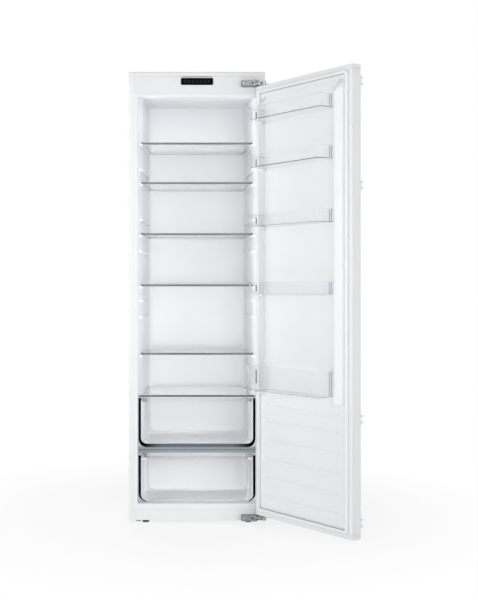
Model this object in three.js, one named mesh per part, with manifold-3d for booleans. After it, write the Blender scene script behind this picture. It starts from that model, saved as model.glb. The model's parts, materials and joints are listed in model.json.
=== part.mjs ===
// Built-in larder refrigerator for a tall kitchen niche, with its door open as photographed.
// Millimetres, +Z up, +Y to the back. The origin is the centre of the base, at the cabinet's lower edge.
// Each named mesh is one physical piece.

import * as THREE from "three";
import { mergeVertices } from "three/addons/utils/BufferGeometryUtils.js";
import Module from "manifold-3d";

const wasm = await Module();
wasm.setup();

// Clearances and mesh fineness
const GAP = 0.3;
const OVERRUN = 5;
const MERGE_TOLERANCE = 0.001;
const ROUND_STEPS = 24;
const SMALL_ROUND_STEPS = 12;
const SMALL_ROUND_RADIUS = 6.5;
const CORNER_STEPS = 3;

// Cabinet
const CABINET_WIDTH = 540;
const CABINET_HEIGHT = 1775;
const CABINET_DEPTH = 540;
const COIL_SPACE = 32;
const CASE_SHEET = 1.5;
const CASE_FLANGE = 20;
const TOP_RAIL_HEIGHT = 18;
const TOP_RAIL_DEPTH = 30;
const TOP_RAIL_WALL = 2.5;

// Compartment liner
const LINER_WALL = 2.5;
const LINER_RIM_SIDE = 14.2;
const LINER_RIM_TOP = 14;
const LINER_RIM_BOTTOM = 22;
const BASE_RAIL_HEIGHT = 43;
const FASCIA_HEIGHT = 67;
const LINER_TAPER = 20.5;
const REAR_INSULATION = 58;
const LINER_CORNER_LENGTH = 30;
const LINER_CORNER_WIDTH = 24;
const LINTEL_DEPTH = 28;
const CEILING_RISE = 30;
const HUMP_DEPTH = 213;
const HUMP_RISE = 217;

// Shelf ribs moulded on the liner's side walls
const RIB_DEPTH = 9;
const RIB_HEIGHT = 8;
const RIB_LEAD = 14;
const RIB_START = 78;
const RIB_END_MARGIN = 40;
const SPARE_RIB_RISE_SHARES = [0.829, 0.703, 0.624, 0.500, 0.459];

// Control fascia and display
const FASCIA_WALL = 3;
const FASCIA_RETURN = 18;
const DISPLAY_WIDTH = 128;
const DISPLAY_HEIGHT = 27.5;
const DISPLAY_RADIUS = 5;
const DISPLAY_TOP_MARGIN = 6.3;
const DISPLAY_THICKNESS = 5;
const DISPLAY_PROUD = 0.6;
const FASCIA_SLOT_WIDTH = 121;
const FASCIA_SLOT_HEIGHT = 2.4;
const FASCIA_SLOT_DEPTH = 9;

// Interior light in the ceiling
const LIGHT_WIDTH = 210;
const LIGHT_DEPTH = 32;
const LIGHT_THICKNESS = 5;
const LIGHT_RADIUS = 8;
const LIGHT_SETBACK = 70;

// Glass shelves on the ribs
const SHELF_RISE_SHARES = [0.895, 0.795, 0.666, 0.537, 0.364];
const SHELF_NAMES = ["shelf_1", "shelf_2", "shelf_3", "shelf_4", "shelf_5"];
const SHELF_SETBACK = 115;
const SHELF_SIDE_GAP = 2.5;
const SHELF_BACK_GAP = 4;
const SHELF_FRAME_HEIGHT = 8;
const SHELF_FRONT_BAND = 12;
const SHELF_SIDE_BAND = 13;
const SHELF_REAR_BAND = 16;
const SHELF_REBATE = 5;
const SHELF_REAR_RIM_HEIGHT = 21;
const SHELF_REAR_RIM_DEPTH = 4;
const GLASS_THICKNESS = 4;
const CRISPER_COVER_RISE = 422;
const CRISPER_SETBACK = 42;

// Crisper drawers
const UPPER_DRAWER_LIFT = 14;
const UPPER_DRAWER_TOP_GAP = 8;
const UPPER_DRAWER_BACK_GAP = 32;
const LOWER_DRAWER_RISE = 4;
const LOWER_DRAWER_HEIGHT = 180;
const LOWER_DRAWER_BACK_GAP = 17;
const DRAWER_SETBACK = 38;
const DRAWER_FRONT_SIDE_GAP = 11.7;
const DRAWER_BODY_SIDE_GAP = 12;
const DRAWER_WALL = 2.5;
const DRAWER_FRONT_WALL = 4;
const DRAWER_CORNER_RADIUS = 22;
const DRAWER_FLANGE_WIDTH = 9;
const DRAWER_FLANGE_HEIGHT = 3;
const DRAWER_FLANGE_DROP = 8;
const DRAWER_LIP_DEPTH = 9;
const DRAWER_LIP_HEIGHT = 12;
const RUNNER_HEIGHT = 9;
const RUNNER_SIDE_GAP = 3;
const DIVIDER_RISE = 218;
const DIVIDER_SKIRT = 23;
const DIVIDER_WALL = 3;
const DIVIDER_GROOVE_DROP = 10;
const DIVIDER_GROOVE_HEIGHT = 2;
const DIVIDER_GROOVE_DEPTH = 1.4;
const SEAL_DEPTH = 10;
const SEAL_FLOOR = 2.2;
const SEAL_SIDE_GAP = 0.6;

// Base: front rail, base plate, feet and rollers
const BASE_RAIL_DEPTH = 48;
const BASE_RAIL_WALL = 2;
const BASE_PLATE_SHEET = 2;
const FOOT_DROP = 10.7;
const FOOT_INSET_X = 66;
const FOOT_SETBACK = 22;
const FOOT_RADIUS = 14;
const FOOT_DISC_HEIGHT = 7;
const FOOT_CHAMFER = 1.5;
const FOOT_STEPS = 18;
const FOOT_STEM_RADIUS = 5;
const FOOT_STEM_TOP = 24;
const FOOT_BOSS_RADIUS = 9.5;
const FOOT_BOSS_HEIGHT = 28;
const ROLLER_RADIUS = 14.5;
const ROLLER_WIDTH = 18;
const ROLLER_INSET_X = 55;
const ROLLER_SETBACK = 38;
const ROLLER_AXLE_RADIUS = 3;
const ROLLER_EAR_SHEET = 2;
const ROLLER_SLOT_GAP = 2;
const ROLLER_EAR_MARGIN = 5;

// Machine compartment behind the hump
const MACHINE_WALL_INSET = 43;
const MACHINE_ROOF_DROP = 47;
const MACHINE_SHEET = 1.2;
const COMPRESSOR_X = 70;
const COMPRESSOR_SETBACK = 100;
const COMPRESSOR_RADIUS = 62;
const COMPRESSOR_STRETCH = 1.2;
const COMPRESSOR_HEIGHT = 138;
const COMPRESSOR_LIFT = 16;
const COMPRESSOR_SEAM = 2;
const COMPRESSOR_BOWL_SHARE = 0.25;
const COMPRESSOR_SHOULDER_SHARE = 0.22;
const COMPRESSOR_FOOT_SPAN_X = 190;
const COMPRESSOR_FOOT_SPAN_Y = 88;
const COMPRESSOR_FOOT_SHEET = 3;
const COMPRESSOR_GROMMET_RADIUS = 10;
const TERMINAL_WIDTH = 34;
const TERMINAL_DEPTH = 60;
const TERMINAL_HEIGHT = 58;
const STUB_RADIUS = 4;
const STUB_LENGTH = 26;
const STUB_RISE = 16;
const TRAY_WIDTH = 170;
const TRAY_DEPTH = 110;
const TRAY_HEIGHT = 26;
const TRAY_WALL = 2;
const TRAY_RADIUS = 10;
const INLET_INSET_X = 120;
const INLET_WIDTH = 62;
const INLET_DEPTH = 40;
const INLET_HEIGHT = 52;
const INLET_GLAND_RADIUS = 9;
const INLET_GLAND_BORE = 4.5;
const INLET_GLAND_LENGTH = 18;

// Condenser coil on the back
const COIL_TUBE_RADIUS = 3;
const COIL_SIDES = 6;
const COIL_WIRE = 4;
const COIL_BRACKET_WIDTH = 14;
const COIL_BRACKET_HEIGHT = 24;
const COIL_RUNS = 11;
const COIL_SIDE_MARGIN = 65;
const COIL_BOTTOM = 345;
const COIL_TOP_MARGIN = 115;
const COIL_TURN_STEPS = 5;
const COIL_TURN_SHARE = 0.5;
const COIL_WIRE_SPACING_SHARES = [-0.8, -0.27, 0.27, 0.8];

// Door
const DOOR_BOTTOM = 28;
const DOOR_TOP_DROP = 65;
const DOOR_THICKNESS = 42;
const DOOR_STANDOFF = 10;
const DOOR_SIDE_MARGIN = 1;
const DOOR_SHEET = 1.2;
const DOOR_CAP_HEIGHT = 18;
const DOOR_LINER_WALL = 2;
const DOOR_LINER_EDGE = 12;
const DOOR_PANEL_RETURN = 12;
const DYKE_ROOT_INSET = 31;
const DYKE_FLANK = 21;
const DYKE_TOP_FLANK = 44;
const DYKE_HEIGHT = 37;
const DYKE_CREST_WIDTH = 6;
const DYKE_INNER_FLANK = 4;
const DYKE_ROUND = 3;
const DYKE_ROOT_RADIUS = 28;
const DYKE_CREST_RADIUS = 5;
const CREST_ROUND_SHARE = 0.8;
const DYKE_TOP_MARGIN = 45;
const DYKE_BOTTOM_RISE = 478;
const BAY_FLOOR_RISE = 7;
const BAY_PAD_MARGIN = 9;
const BAY_PAD_RADIUS = 14;
const LOWER_PANEL_MARGIN = 34;
const LOWER_PANEL_RISE = 3;
const LOWER_PANEL_OVERLAP = 6;
const LOWER_PANEL_RADIUS = 12;
const GROOVE_RISE_SHARES = [0.101, 0.265, 0.428, 0.592, 0.755, 0.894];
const GROOVE_INSET = 30;
const GROOVE_HEIGHT = 12;
const GROOVE_FLOOR_HEIGHT = 5;
const GROOVE_DEPTH = 2.5;
const GASKET_WIDTH = 12;
const GASKET_ROOT_WIDTH = 7;
const GASKET_ROOT_HEIGHT = 3;
const GASKET_RADIUS = 14;
const GASKET_INSET = 18;
const GASKET_END_MARGIN = 20;

// Door bins
const BIN_NAMES = ["door_bin_1", "door_bin_2", "door_bin_3", "door_bin_4", "door_bin_5"];
const BIN_RISE_SHARES = [0.911, 0.803, 0.669, 0.515, 0.298];
const BIN_HEIGHT = 47;
const BOTTLE_BIN_HEIGHT = 98;
const BIN_DEPTH = 88;
const BOTTLE_BIN_DEPTH = 100;
const BIN_SIDE_GAP = 1.5;
const BIN_BACK_GAP = 0.6;
const BIN_WALL = 2.5;
const BIN_CORNER_RADIUS = 16;
const BIN_DRAFT = 4;
const BIN_LEDGE_WIDTH = 9;
const BIN_LEDGE_HEIGHT = 6;
const BIN_LEDGE_DEPTH = 24;

// Hinges: one link on two pivots at each end of the door, given at the closed position
const HINGE_PIVOT_INSET = 43.77;
const HINGE_PIVOT_REACH = 25.01;
const DOOR_PIVOT_INSET = 8.65;
const DOOR_PIVOT_REACH = 43.79;
const LINK_TURN_DEGREES = 41.87;
const DOOR_TURN_DEGREES = 83.73;
const PLATE_SHEET = 3;
const PLATE_LENGTH = 62;
const PLATE_WIDTH = 26;
const PLATE_EYE_RADIUS = 7.5;
const PLATE_CORNER_RADIUS = 5;
const PLATE_HOLE_RADIUS = 2.6;
const PLATE_HOLE_SHARES = [0.2, 0.5];
const HOUSING_LIFT = 0.7;
const HOUSING_LENGTH = 64;
const HOUSING_DEPTH = 36;
const HOUSING_HEIGHT = 21;
const HOUSING_RADIUS = 9;
const HOUSING_NOSE = 12;
const HOUSING_SCREW_INSET = 9.5;
const HOUSING_SCREW_RADIUS = 7;
const HOUSING_SCREW_DEPTH = 2.5;
const HOUSING_SCREW_BORE = 2.6;
const HOUSING_POCKET_MARGIN = 3.5;
const HOUSING_POCKET_DEPTH = 1.8;
const HOUSING_POCKET_LENGTH = 19;
const HOUSING_POCKET_RADIUS = 2;
const LINK_SHEET = 6;
const LINK_LIFT = 7.2;
const LINK_EYE_RADIUS = 8.5;
const LINK_WAIST = 6;
const LINK_SIDE_GAP = 0.5;
const LINK_FORK_LIFT = 2.2;
const LINK_FORK_HEIGHT = 18;
const LINK_FORK_PLATE = 3.5;
const LINK_FORK_WEB = 4;
const LINK_FORK_GAP = 4;
const SLOT_BACK_MARGIN = 10;
const SLOT_EYE_GAP = 2;
const PIN_RADIUS = 4;
const PIN_HEAD_RADIUS = 7;
const PIN_HEAD_HEIGHT = 2;
const PIN_SPIGOT_RADIUS = 3.4;

// Brackets that couple the furniture door
const BRACKET_NAMES = ["door_bracket_1", "door_bracket_2", "door_bracket_3", "door_bracket_4"];
const BRACKET_RISE_SHARES = [0.9668, 0.7466, 0.2525, 0.0333];
const BRACKET_PLATE_WIDTH = 26;
const BRACKET_PLATE_HEIGHT = 44;
const BRACKET_SHEET = 1.8;
const BRACKET_LUG_SPACING = 22;
const BRACKET_LUG_RADIUS = 5;
const BRACKET_LUG_REACH = 9;
const BRACKET_LUG_WALL = 3;

// Places worked out from the sizes above
const SIDE = CABINET_WIDTH / 2;
const FRONT = -CABINET_DEPTH / 2;
const BACK = CABINET_DEPTH / 2 - COIL_SPACE;
const RAIL_BOTTOM = CABINET_HEIGHT - TOP_RAIL_HEIGHT;
const FLANGE_INNER = SIDE - CASE_FLANGE;
const RIM_OUTER = FLANGE_INNER - GAP;
const OPENING_HALF = RIM_OUTER - LINER_RIM_SIDE;
const FLOOR = BASE_RAIL_HEIGHT + LINER_RIM_BOTTOM;
const FASCIA_BOTTOM = RAIL_BOTTOM - FASCIA_HEIGHT;
const OPENING_TOP = FASCIA_BOTTOM - LINER_RIM_TOP;
const CEILING = OPENING_TOP + CEILING_RISE;
const LINER_BACK = BACK - REAR_INSULATION;
const CORNER_START = LINER_BACK - LINER_CORNER_LENGTH;
const HUMP_Y = BACK - HUMP_DEPTH;
const HUMP_TOP = FLOOR + HUMP_RISE;
const OPENING_HEIGHT = OPENING_TOP - FLOOR;
const DRAWER_FRONT_HALF = OPENING_HALF - DRAWER_FRONT_SIDE_GAP;
const DRAWER_BODY_HALF = OPENING_HALF - LINER_TAPER - DRAWER_BODY_SIDE_GAP;
const COIL_HALF_WIDTH = SIDE - COIL_SIDE_MARGIN;
const INLET_X = INLET_INSET_X - SIDE;
const DOOR_TOP = CABINET_HEIGHT - DOOR_TOP_DROP;
const DOOR_HEIGHT = DOOR_TOP - DOOR_BOTTOM;
const DOOR_SIDE = SIDE - DOOR_SIDE_MARGIN;
const DOOR_INNER_Y = FRONT - DOOR_STANDOFF;
const DOOR_OUTER_Y = DOOR_INNER_Y - DOOR_THICKNESS;
const LINK_PIVOT = new THREE.Vector2(SIDE - HINGE_PIVOT_INSET, FRONT - HINGE_PIVOT_REACH);
const DOOR_PIVOT = new THREE.Vector2(SIDE - DOOR_PIVOT_INSET, FRONT - DOOR_PIVOT_REACH);

// Finishes
function finish(color, roughness, metalness = 0, opacity = 1) {
  const settings = { color, roughness, metalness, opacity, transparent: opacity < 1 };
  return new THREE.MeshStandardMaterial(settings);
}

const CLEAR_SHARE = 0.35;
const WHITE_ENAMEL = finish(0xeef0f2, 0.35);
const WHITE_PLASTIC = finish(0xf2f3f5, 0.45);
const LINER_WHITE = finish(0xeceef0, 0.4);
const FOAM = finish(0xe8dfb8, 0.9);
const CLEAR_PLASTIC = finish(0xf0f3f6, 0.15, 0, CLEAR_SHARE);
const SHELF_GLASS = finish(0xe4ecec, 0.05, 0, CLEAR_SHARE);
const SHELF_TRIM = finish(0x9a9da0, 0.4);
const DARK_SEAL = finish(0x101114, 0.7);
const SOFT_SEAL = finish(0xdfe1e4, 0.7);
const DISPLAY_BLACK = finish(0x08090a, 0.15);
const HINGE_STEEL = finish(0x8c9093, 0.4, 1);
const ZINC = finish(0xa9adb0, 0.45, 1);
const COMPRESSOR_BLACK = finish(0x17181a, 0.5);
const COIL_BLACK = finish(0x202224, 0.55);
const GREY_PLASTIC = finish(0x6c7074, 0.6);
const LIGHT_LENS = finish(0xfbfbf6, 0.3);

// Solids: conversions between geometries and solids, and the cuts and joins
function solidOf(geometry) {
  const bare = geometry.index ? geometry.toNonIndexed() : geometry.clone();
  bare.deleteAttribute("normal");
  bare.deleteAttribute("uv");
  const merged = mergeVertices(bare, MERGE_TOLERANCE);
  const vertProperties = merged.attributes.position.array;
  const triVerts = new Uint32Array(merged.index.array);
  return new wasm.Manifold(new wasm.Mesh({ numProp: 3, vertProperties, triVerts }));
}

function geometryOf(solid) {
  const mesh = solid.getMesh();
  const geometry = new THREE.BufferGeometry();
  const position = new THREE.BufferAttribute(new Float32Array(mesh.vertProperties), 3);
  geometry.setAttribute("position", position);
  geometry.setIndex(new THREE.BufferAttribute(new Uint32Array(mesh.triVerts), 1));
  return geometry;
}

function join(...geometries) {
  const [first, ...rest] = geometries.map(solidOf);
  return geometryOf(rest.reduce((whole, piece) => whole.add(piece), first));
}

function cut(base, ...tools) {
  return geometryOf(tools.reduce((rest, tool) => rest.subtract(solidOf(tool)), solidOf(base)));
}

function common(first, second) {
  return geometryOf(solidOf(first).intersect(solidOf(second)));
}

// Basic forms: a block between limits, prisms along each axis, turned and lofted bodies
function block(x0, x1, y0, y1, z0, z1) {
  const geometry = new THREE.BoxGeometry(x1 - x0, y1 - y0, z1 - z0);
  return geometry.translate((x0 + x1) / 2, (y0 + y1) / 2, (z0 + z1) / 2);
}

function extruded(shape, length) {
  return new THREE.ExtrudeGeometry(shape, {
    depth: length,
    bevelEnabled: false,
    curveSegments: CORNER_STEPS,
  });
}

function prismZ(shape, z0, z1) {
  return extruded(shape, z1 - z0).translate(0, 0, z0);
}

// The shape's axes are X and Z, and it is extruded from y1 forward to y0.
function prismY(shape, y0, y1) {
  return extruded(shape, y1 - y0).rotateX(Math.PI / 2).translate(0, y1, 0);
}

// The shape's axes are Y and Z.
function prismX(shape, x0, x1) {
  const turn = new THREE.Matrix4().makeBasis(
    new THREE.Vector3(0, 1, 0),
    new THREE.Vector3(0, 0, 1),
    new THREE.Vector3(1, 0, 0),
  );
  return extruded(shape, x1 - x0).applyMatrix4(turn).translate(x0, 0, 0);
}

function polygon(points) {
  return new THREE.Shape(points.map(([x, y]) => new THREE.Vector2(x, y)));
}

function roundedRectangle(x0, x1, y0, y1, radius) {
  const shape = new THREE.Shape();
  shape.absarc(x1 - radius, y1 - radius, radius, 0, Math.PI / 2);
  shape.absarc(x0 + radius, y1 - radius, radius, Math.PI / 2, Math.PI);
  shape.absarc(x0 + radius, y0 + radius, radius, Math.PI, -Math.PI / 2);
  shape.absarc(x1 - radius, y0 + radius, radius, -Math.PI / 2, 0);
  return shape;
}

// A rectangle whose two lower corners are rounded.
function tubShape(halfWidth, z0, z1, radius) {
  const shape = new THREE.Shape();
  shape.moveTo(halfWidth, z1);
  shape.lineTo(-halfWidth, z1);
  shape.absarc(radius - halfWidth, z0 + radius, radius, Math.PI, -Math.PI / 2);
  shape.absarc(halfWidth - radius, z0 + radius, radius, -Math.PI / 2, 0);
  return shape;
}

function turned(profile, steps = ROUND_STEPS) {
  const points = profile.map(([radius, height]) => new THREE.Vector2(radius, height));
  return new THREE.LatheGeometry(points, steps).rotateX(Math.PI / 2);
}

// An upright cylinder. Small ones have fewer facets.
function post(radius, z0, z1, x = 0, y = 0) {
  const steps = radius > SMALL_ROUND_RADIUS ? ROUND_STEPS : SMALL_ROUND_STEPS;
  return turned([[0, z0], [radius, z0], [radius, z1], [0, z1]], steps).translate(x, y, 0);
}

// A closed body through rings of points, each ring a list of [x, y, z], with flat ends.
function loft(rings) {
  const count = rings[0].length;
  const corners = rings.flat();
  const faces = [];
  for (let ring = 0; ring + 1 < rings.length; ring += 1) {
    for (let i = 0; i < count; i += 1) {
      const a = ring * count + i;
      const b = ring * count + ((i + 1) % count);
      faces.push([a, b, b + count], [a, b + count, a + count]);
    }
  }
  const last = (rings.length - 1) * count;
  for (let i = 1; i + 1 < count; i += 1) {
    faces.push([0, i + 1, i], [last, last + i, last + i + 1]);
  }
  const geometry = new THREE.BufferGeometry();
  const positions = faces.flat().flatMap((index) => corners[index]);
  geometry.setAttribute("position", new THREE.Float32BufferAttribute(positions, 3));
  return geometry;
}

function mirroredPair(make) {
  return [make(1), make(-1)];
}

// The assembly, and the helper that adds a named piece to one of its groups
const refrigerator = new THREE.Group();

function addPiece(group, name, geometry, material) {
  const mesh = new THREE.Mesh(geometry, material);
  mesh.name = name;
  group.add(mesh);
}

// A group turned about a vertical pivot. Its content keeps the closed position's coordinates.
function turnedAbout(parent, pivot, degrees) {
  const turn = new THREE.Group();
  turn.position.set(pivot.x, pivot.y, 0);
  turn.rotation.z = THREE.MathUtils.degToRad(degrees);
  const content = new THREE.Group();
  content.position.set(-pivot.x, -pivot.y, 0);
  turn.add(content);
  parent.add(turn);
  return content;
}

// Half the compartment's width at a depth, between the front and the rear corner's start
function wallHalf(y) {
  return OPENING_HALF - (LINER_TAPER * (y - FRONT)) / (CORNER_START - FRONT);
}

const BACK_HALF = wallHalf(CORNER_START) - LINER_CORNER_WIDTH;

// The compartment's plan, with its walls moved outwards by grow
function compartmentPlan(grow) {
  const shape = new THREE.Shape();
  const sideHalf = wallHalf(CORNER_START) + grow;
  const backHalf = BACK_HALF + grow;
  const back = LINER_BACK + grow;
  shape.moveTo(-OPENING_HALF - grow, FRONT);
  shape.lineTo(OPENING_HALF + grow, FRONT);
  shape.lineTo(sideHalf, CORNER_START);
  shape.quadraticCurveTo(sideHalf, back, backHalf, back);
  shape.lineTo(-backHalf, back);
  shape.quadraticCurveTo(-sideHalf, back, -sideHalf, CORNER_START);
  return shape;
}

// The compartment's space: the plan raised, less the hump over the machine and less the lintel.
function compartment(grow) {
  const room = prismZ(compartmentPlan(grow), FLOOR - grow, CEILING + grow);
  const hump = block(-SIDE, SIDE, HUMP_Y + grow, BACK, 0, HUMP_TOP - grow);
  const lintelBack = FRONT + LINTEL_DEPTH - grow;
  const lintel = block(-SIDE, SIDE, FRONT - OVERRUN, lintelBack, OPENING_TOP + grow, CABINET_HEIGHT);
  return cut(room, hump, lintel);
}

// Ribs on one side wall: each is a ledge that follows the wall's taper, with a slanted lead at the front.
function wallRib(side, top) {
  const start = FRONT + RIB_START;
  const end = LINER_BACK - RIB_END_MARGIN;
  const bite = LINER_WALL / 2;
  const shape = polygon([
    [side * (wallHalf(start) + bite), start],
    [side * (wallHalf(start + RIB_LEAD) - RIB_DEPTH), start + RIB_LEAD],
    [side * (wallHalf(end) - RIB_DEPTH), end],
    [side * (wallHalf(end) + bite), end],
  ]);
  return prismZ(shape, top - RIB_HEIGHT, top);
}

// Straight ledges that carry the drawers' flanges.
function runner(side, top, end) {
  const start = FRONT + DRAWER_SETBACK + DRAWER_FRONT_WALL + SEAL_DEPTH;
  const inner = DRAWER_BODY_HALF + RUNNER_SIDE_GAP;
  const bite = LINER_WALL / 2;
  const shape = polygon([
    [side * (wallHalf(start) + bite), start],
    [side * inner, start + RIB_LEAD],
    [side * inner, end],
    [side * (wallHalf(end) + bite), end],
  ]);
  return prismZ(shape, top - RUNNER_HEIGHT, top);
}

const shelfLevels = SHELF_RISE_SHARES.map((share) => FLOOR + share * OPENING_HEIGHT);
const crisperCoverLevel = FLOOR + CRISPER_COVER_RISE;
const dividerTop = FLOOR + DIVIDER_RISE;
const upperDrawerBottom = dividerTop + UPPER_DRAWER_LIFT;
const drawers = [
  {
    name: "upper_crisper_drawer",
    sealName: "upper_crisper_seal",
    bottom: upperDrawerBottom,
    height: crisperCoverLevel - UPPER_DRAWER_TOP_GAP - upperDrawerBottom,
    back: LINER_BACK - UPPER_DRAWER_BACK_GAP,
    sealBottom: dividerTop + GAP,
  },
  {
    name: "lower_crisper_drawer",
    sealName: "lower_crisper_seal",
    bottom: FLOOR + LOWER_DRAWER_RISE,
    height: LOWER_DRAWER_HEIGHT,
    back: HUMP_Y - LOWER_DRAWER_BACK_GAP,
    sealBottom: FLOOR + LOWER_DRAWER_RISE - SEAL_SIDE_GAP - SEAL_FLOOR,
  },
];

function flangeBottom(drawer) {
  return drawer.bottom + drawer.height - DRAWER_FLANGE_DROP - DRAWER_FLANGE_HEIGHT;
}

function makeLiner() {
  const rim = block(
    -RIM_OUTER, RIM_OUTER, FRONT, FRONT + LINER_WALL,
    BASE_RAIL_HEIGHT + GAP, FASCIA_BOTTOM - GAP,
  );
  const ribTops = [...shelfLevels, crisperCoverLevel].map(
    (level) => level - SHELF_FRAME_HEIGHT / 2 - GAP,
  );
  const spareTops = SPARE_RIB_RISE_SHARES.map((share) => FLOOR + share * OPENING_HEIGHT);
  const ribs = [...ribTops, ...spareTops].flatMap((top) => mirroredPair((side) => wallRib(side, top)));
  const runners = drawers.flatMap((drawer) => {
    const end = Math.min(drawer.back, drawer.bottom < HUMP_TOP ? HUMP_Y : CORNER_START);
    return mirroredPair((side) => runner(side, flangeBottom(drawer) - GAP, end));
  });
  const dividerLedges = mirroredPair((side) => {
    const start = FRONT + CRISPER_SETBACK;
    const inner = wallHalf(HUMP_Y) - RIB_DEPTH;
    const shape = polygon([
      [side * (wallHalf(start + RIB_LEAD) + LINER_WALL / 2), start + RIB_LEAD],
      [side * inner, start + RIB_LEAD],
      [side * inner, HUMP_Y],
      [side * (wallHalf(HUMP_Y) + LINER_WALL / 2), HUMP_Y],
    ]);
    const top = dividerTop - DIVIDER_SKIRT - GAP;
    return prismZ(shape, top - RIB_HEIGHT / 2, top);
  });
  const shell = cut(join(compartment(LINER_WALL), rim), compartment(0));
  return join(shell, ...ribs, ...runners, ...dividerLedges);
}

function makeOuterCase() {
  const inner = SIDE - CASE_SHEET;
  const outer = block(-SIDE, SIDE, FRONT, BACK, 0, CABINET_HEIGHT);
  const hollow = block(
    -inner, inner, FRONT + CASE_SHEET, BACK + OVERRUN, -OVERRUN, CABINET_HEIGHT - CASE_SHEET,
  );
  const mouth = block(
    -FLANGE_INNER, FLANGE_INNER, FRONT - OVERRUN, FRONT + OVERRUN, -OVERRUN, CABINET_HEIGHT + OVERRUN,
  );
  const railSeat = block(
    -SIDE - OVERRUN, SIDE + OVERRUN, FRONT - OVERRUN, FRONT + TOP_RAIL_DEPTH + GAP,
    RAIL_BOTTOM - GAP, CABINET_HEIGHT + OVERRUN,
  );
  return cut(outer, hollow, mouth, railSeat);
}

function makeTopRail() {
  const inner = FRONT + TOP_RAIL_WALL;
  const shape = polygon([
    [FRONT, RAIL_BOTTOM],
    [inner, RAIL_BOTTOM],
    [inner, CABINET_HEIGHT - TOP_RAIL_WALL],
    [FRONT + TOP_RAIL_DEPTH, CABINET_HEIGHT - TOP_RAIL_WALL],
    [FRONT + TOP_RAIL_DEPTH, CABINET_HEIGHT],
    [FRONT + TOP_RAIL_WALL, CABINET_HEIGHT],
    [FRONT, CABINET_HEIGHT - TOP_RAIL_WALL],
  ]);
  return prismX(shape, -SIDE, SIDE);
}

const displayTop = RAIL_BOTTOM - DISPLAY_TOP_MARGIN;

function displayOutline(grow) {
  return roundedRectangle(
    -DISPLAY_WIDTH / 2 - grow, DISPLAY_WIDTH / 2 + grow,
    displayTop - DISPLAY_HEIGHT - grow, displayTop + grow, DISPLAY_RADIUS + grow,
  );
}

function makeFascia() {
  const top = RAIL_BOTTOM - GAP;
  const outer = block(-RIM_OUTER, RIM_OUTER, FRONT, FRONT + FASCIA_RETURN, FASCIA_BOTTOM, top);
  const hollow = block(
    FASCIA_WALL - RIM_OUTER, RIM_OUTER - FASCIA_WALL,
    FRONT + FASCIA_WALL, FRONT + FASCIA_RETURN + OVERRUN,
    FASCIA_BOTTOM + FASCIA_WALL, top - FASCIA_WALL,
  );
  const window = prismY(displayOutline(GAP), FRONT - OVERRUN, FRONT + FASCIA_WALL + OVERRUN);
  const slot = block(
    -FASCIA_SLOT_WIDTH / 2, FASCIA_SLOT_WIDTH / 2, FRONT - OVERRUN, FRONT + FASCIA_SLOT_DEPTH,
    top - FASCIA_SLOT_HEIGHT, top + OVERRUN,
  );
  return cut(outer, hollow, window, slot);
}

function makeDisplay() {
  const face = FRONT - DISPLAY_PROUD;
  return prismY(displayOutline(0), face, face + DISPLAY_THICKNESS);
}

function makeBaseRail() {
  const back = FRONT + BASE_RAIL_DEPTH;
  const wall = BASE_RAIL_WALL;
  const channel = polygon([
    [FRONT, 0],
    [back, 0],
    [back, wall],
    [FRONT + wall, wall],
    [FRONT + wall, BASE_RAIL_HEIGHT - wall],
    [back, BASE_RAIL_HEIGHT - wall],
    [back, BASE_RAIL_HEIGHT],
    [FRONT, BASE_RAIL_HEIGHT],
  ]);
  const y = FRONT + FOOT_SETBACK;
  const x = SIDE - FOOT_INSET_X;
  const bosses = mirroredPair((side) => post(FOOT_BOSS_RADIUS, 0, FOOT_BOSS_HEIGHT, side * x, y));
  const bores = mirroredPair((side) =>
    post(FOOT_STEM_RADIUS + GAP, -OVERRUN, FOOT_BOSS_HEIGHT + OVERRUN, side * x, y),
  );
  return cut(join(prismX(channel, -RIM_OUTER, RIM_OUTER), ...bosses), ...bores);
}

function makeFoot() {
  const bottom = -FOOT_DROP;
  const rim = FOOT_RADIUS - FOOT_DISC_HEIGHT / 2;
  return turned([
    [0, bottom],
    [FOOT_RADIUS - FOOT_CHAMFER, bottom],
    [FOOT_RADIUS, bottom + FOOT_CHAMFER],
    [FOOT_RADIUS, bottom + FOOT_DISC_HEIGHT / 2],
    [rim, bottom + FOOT_DISC_HEIGHT],
    [FOOT_STEM_RADIUS, bottom + FOOT_DISC_HEIGHT],
    [FOOT_STEM_RADIUS, FOOT_STEM_TOP],
    [0, FOOT_STEM_TOP],
  ], FOOT_STEPS);
}

const rollerZ = ROLLER_RADIUS - FOOT_DROP;
const rollerY = BACK - ROLLER_SETBACK;
const earReach = ROLLER_WIDTH / 2 + ROLLER_SLOT_GAP;

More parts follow.
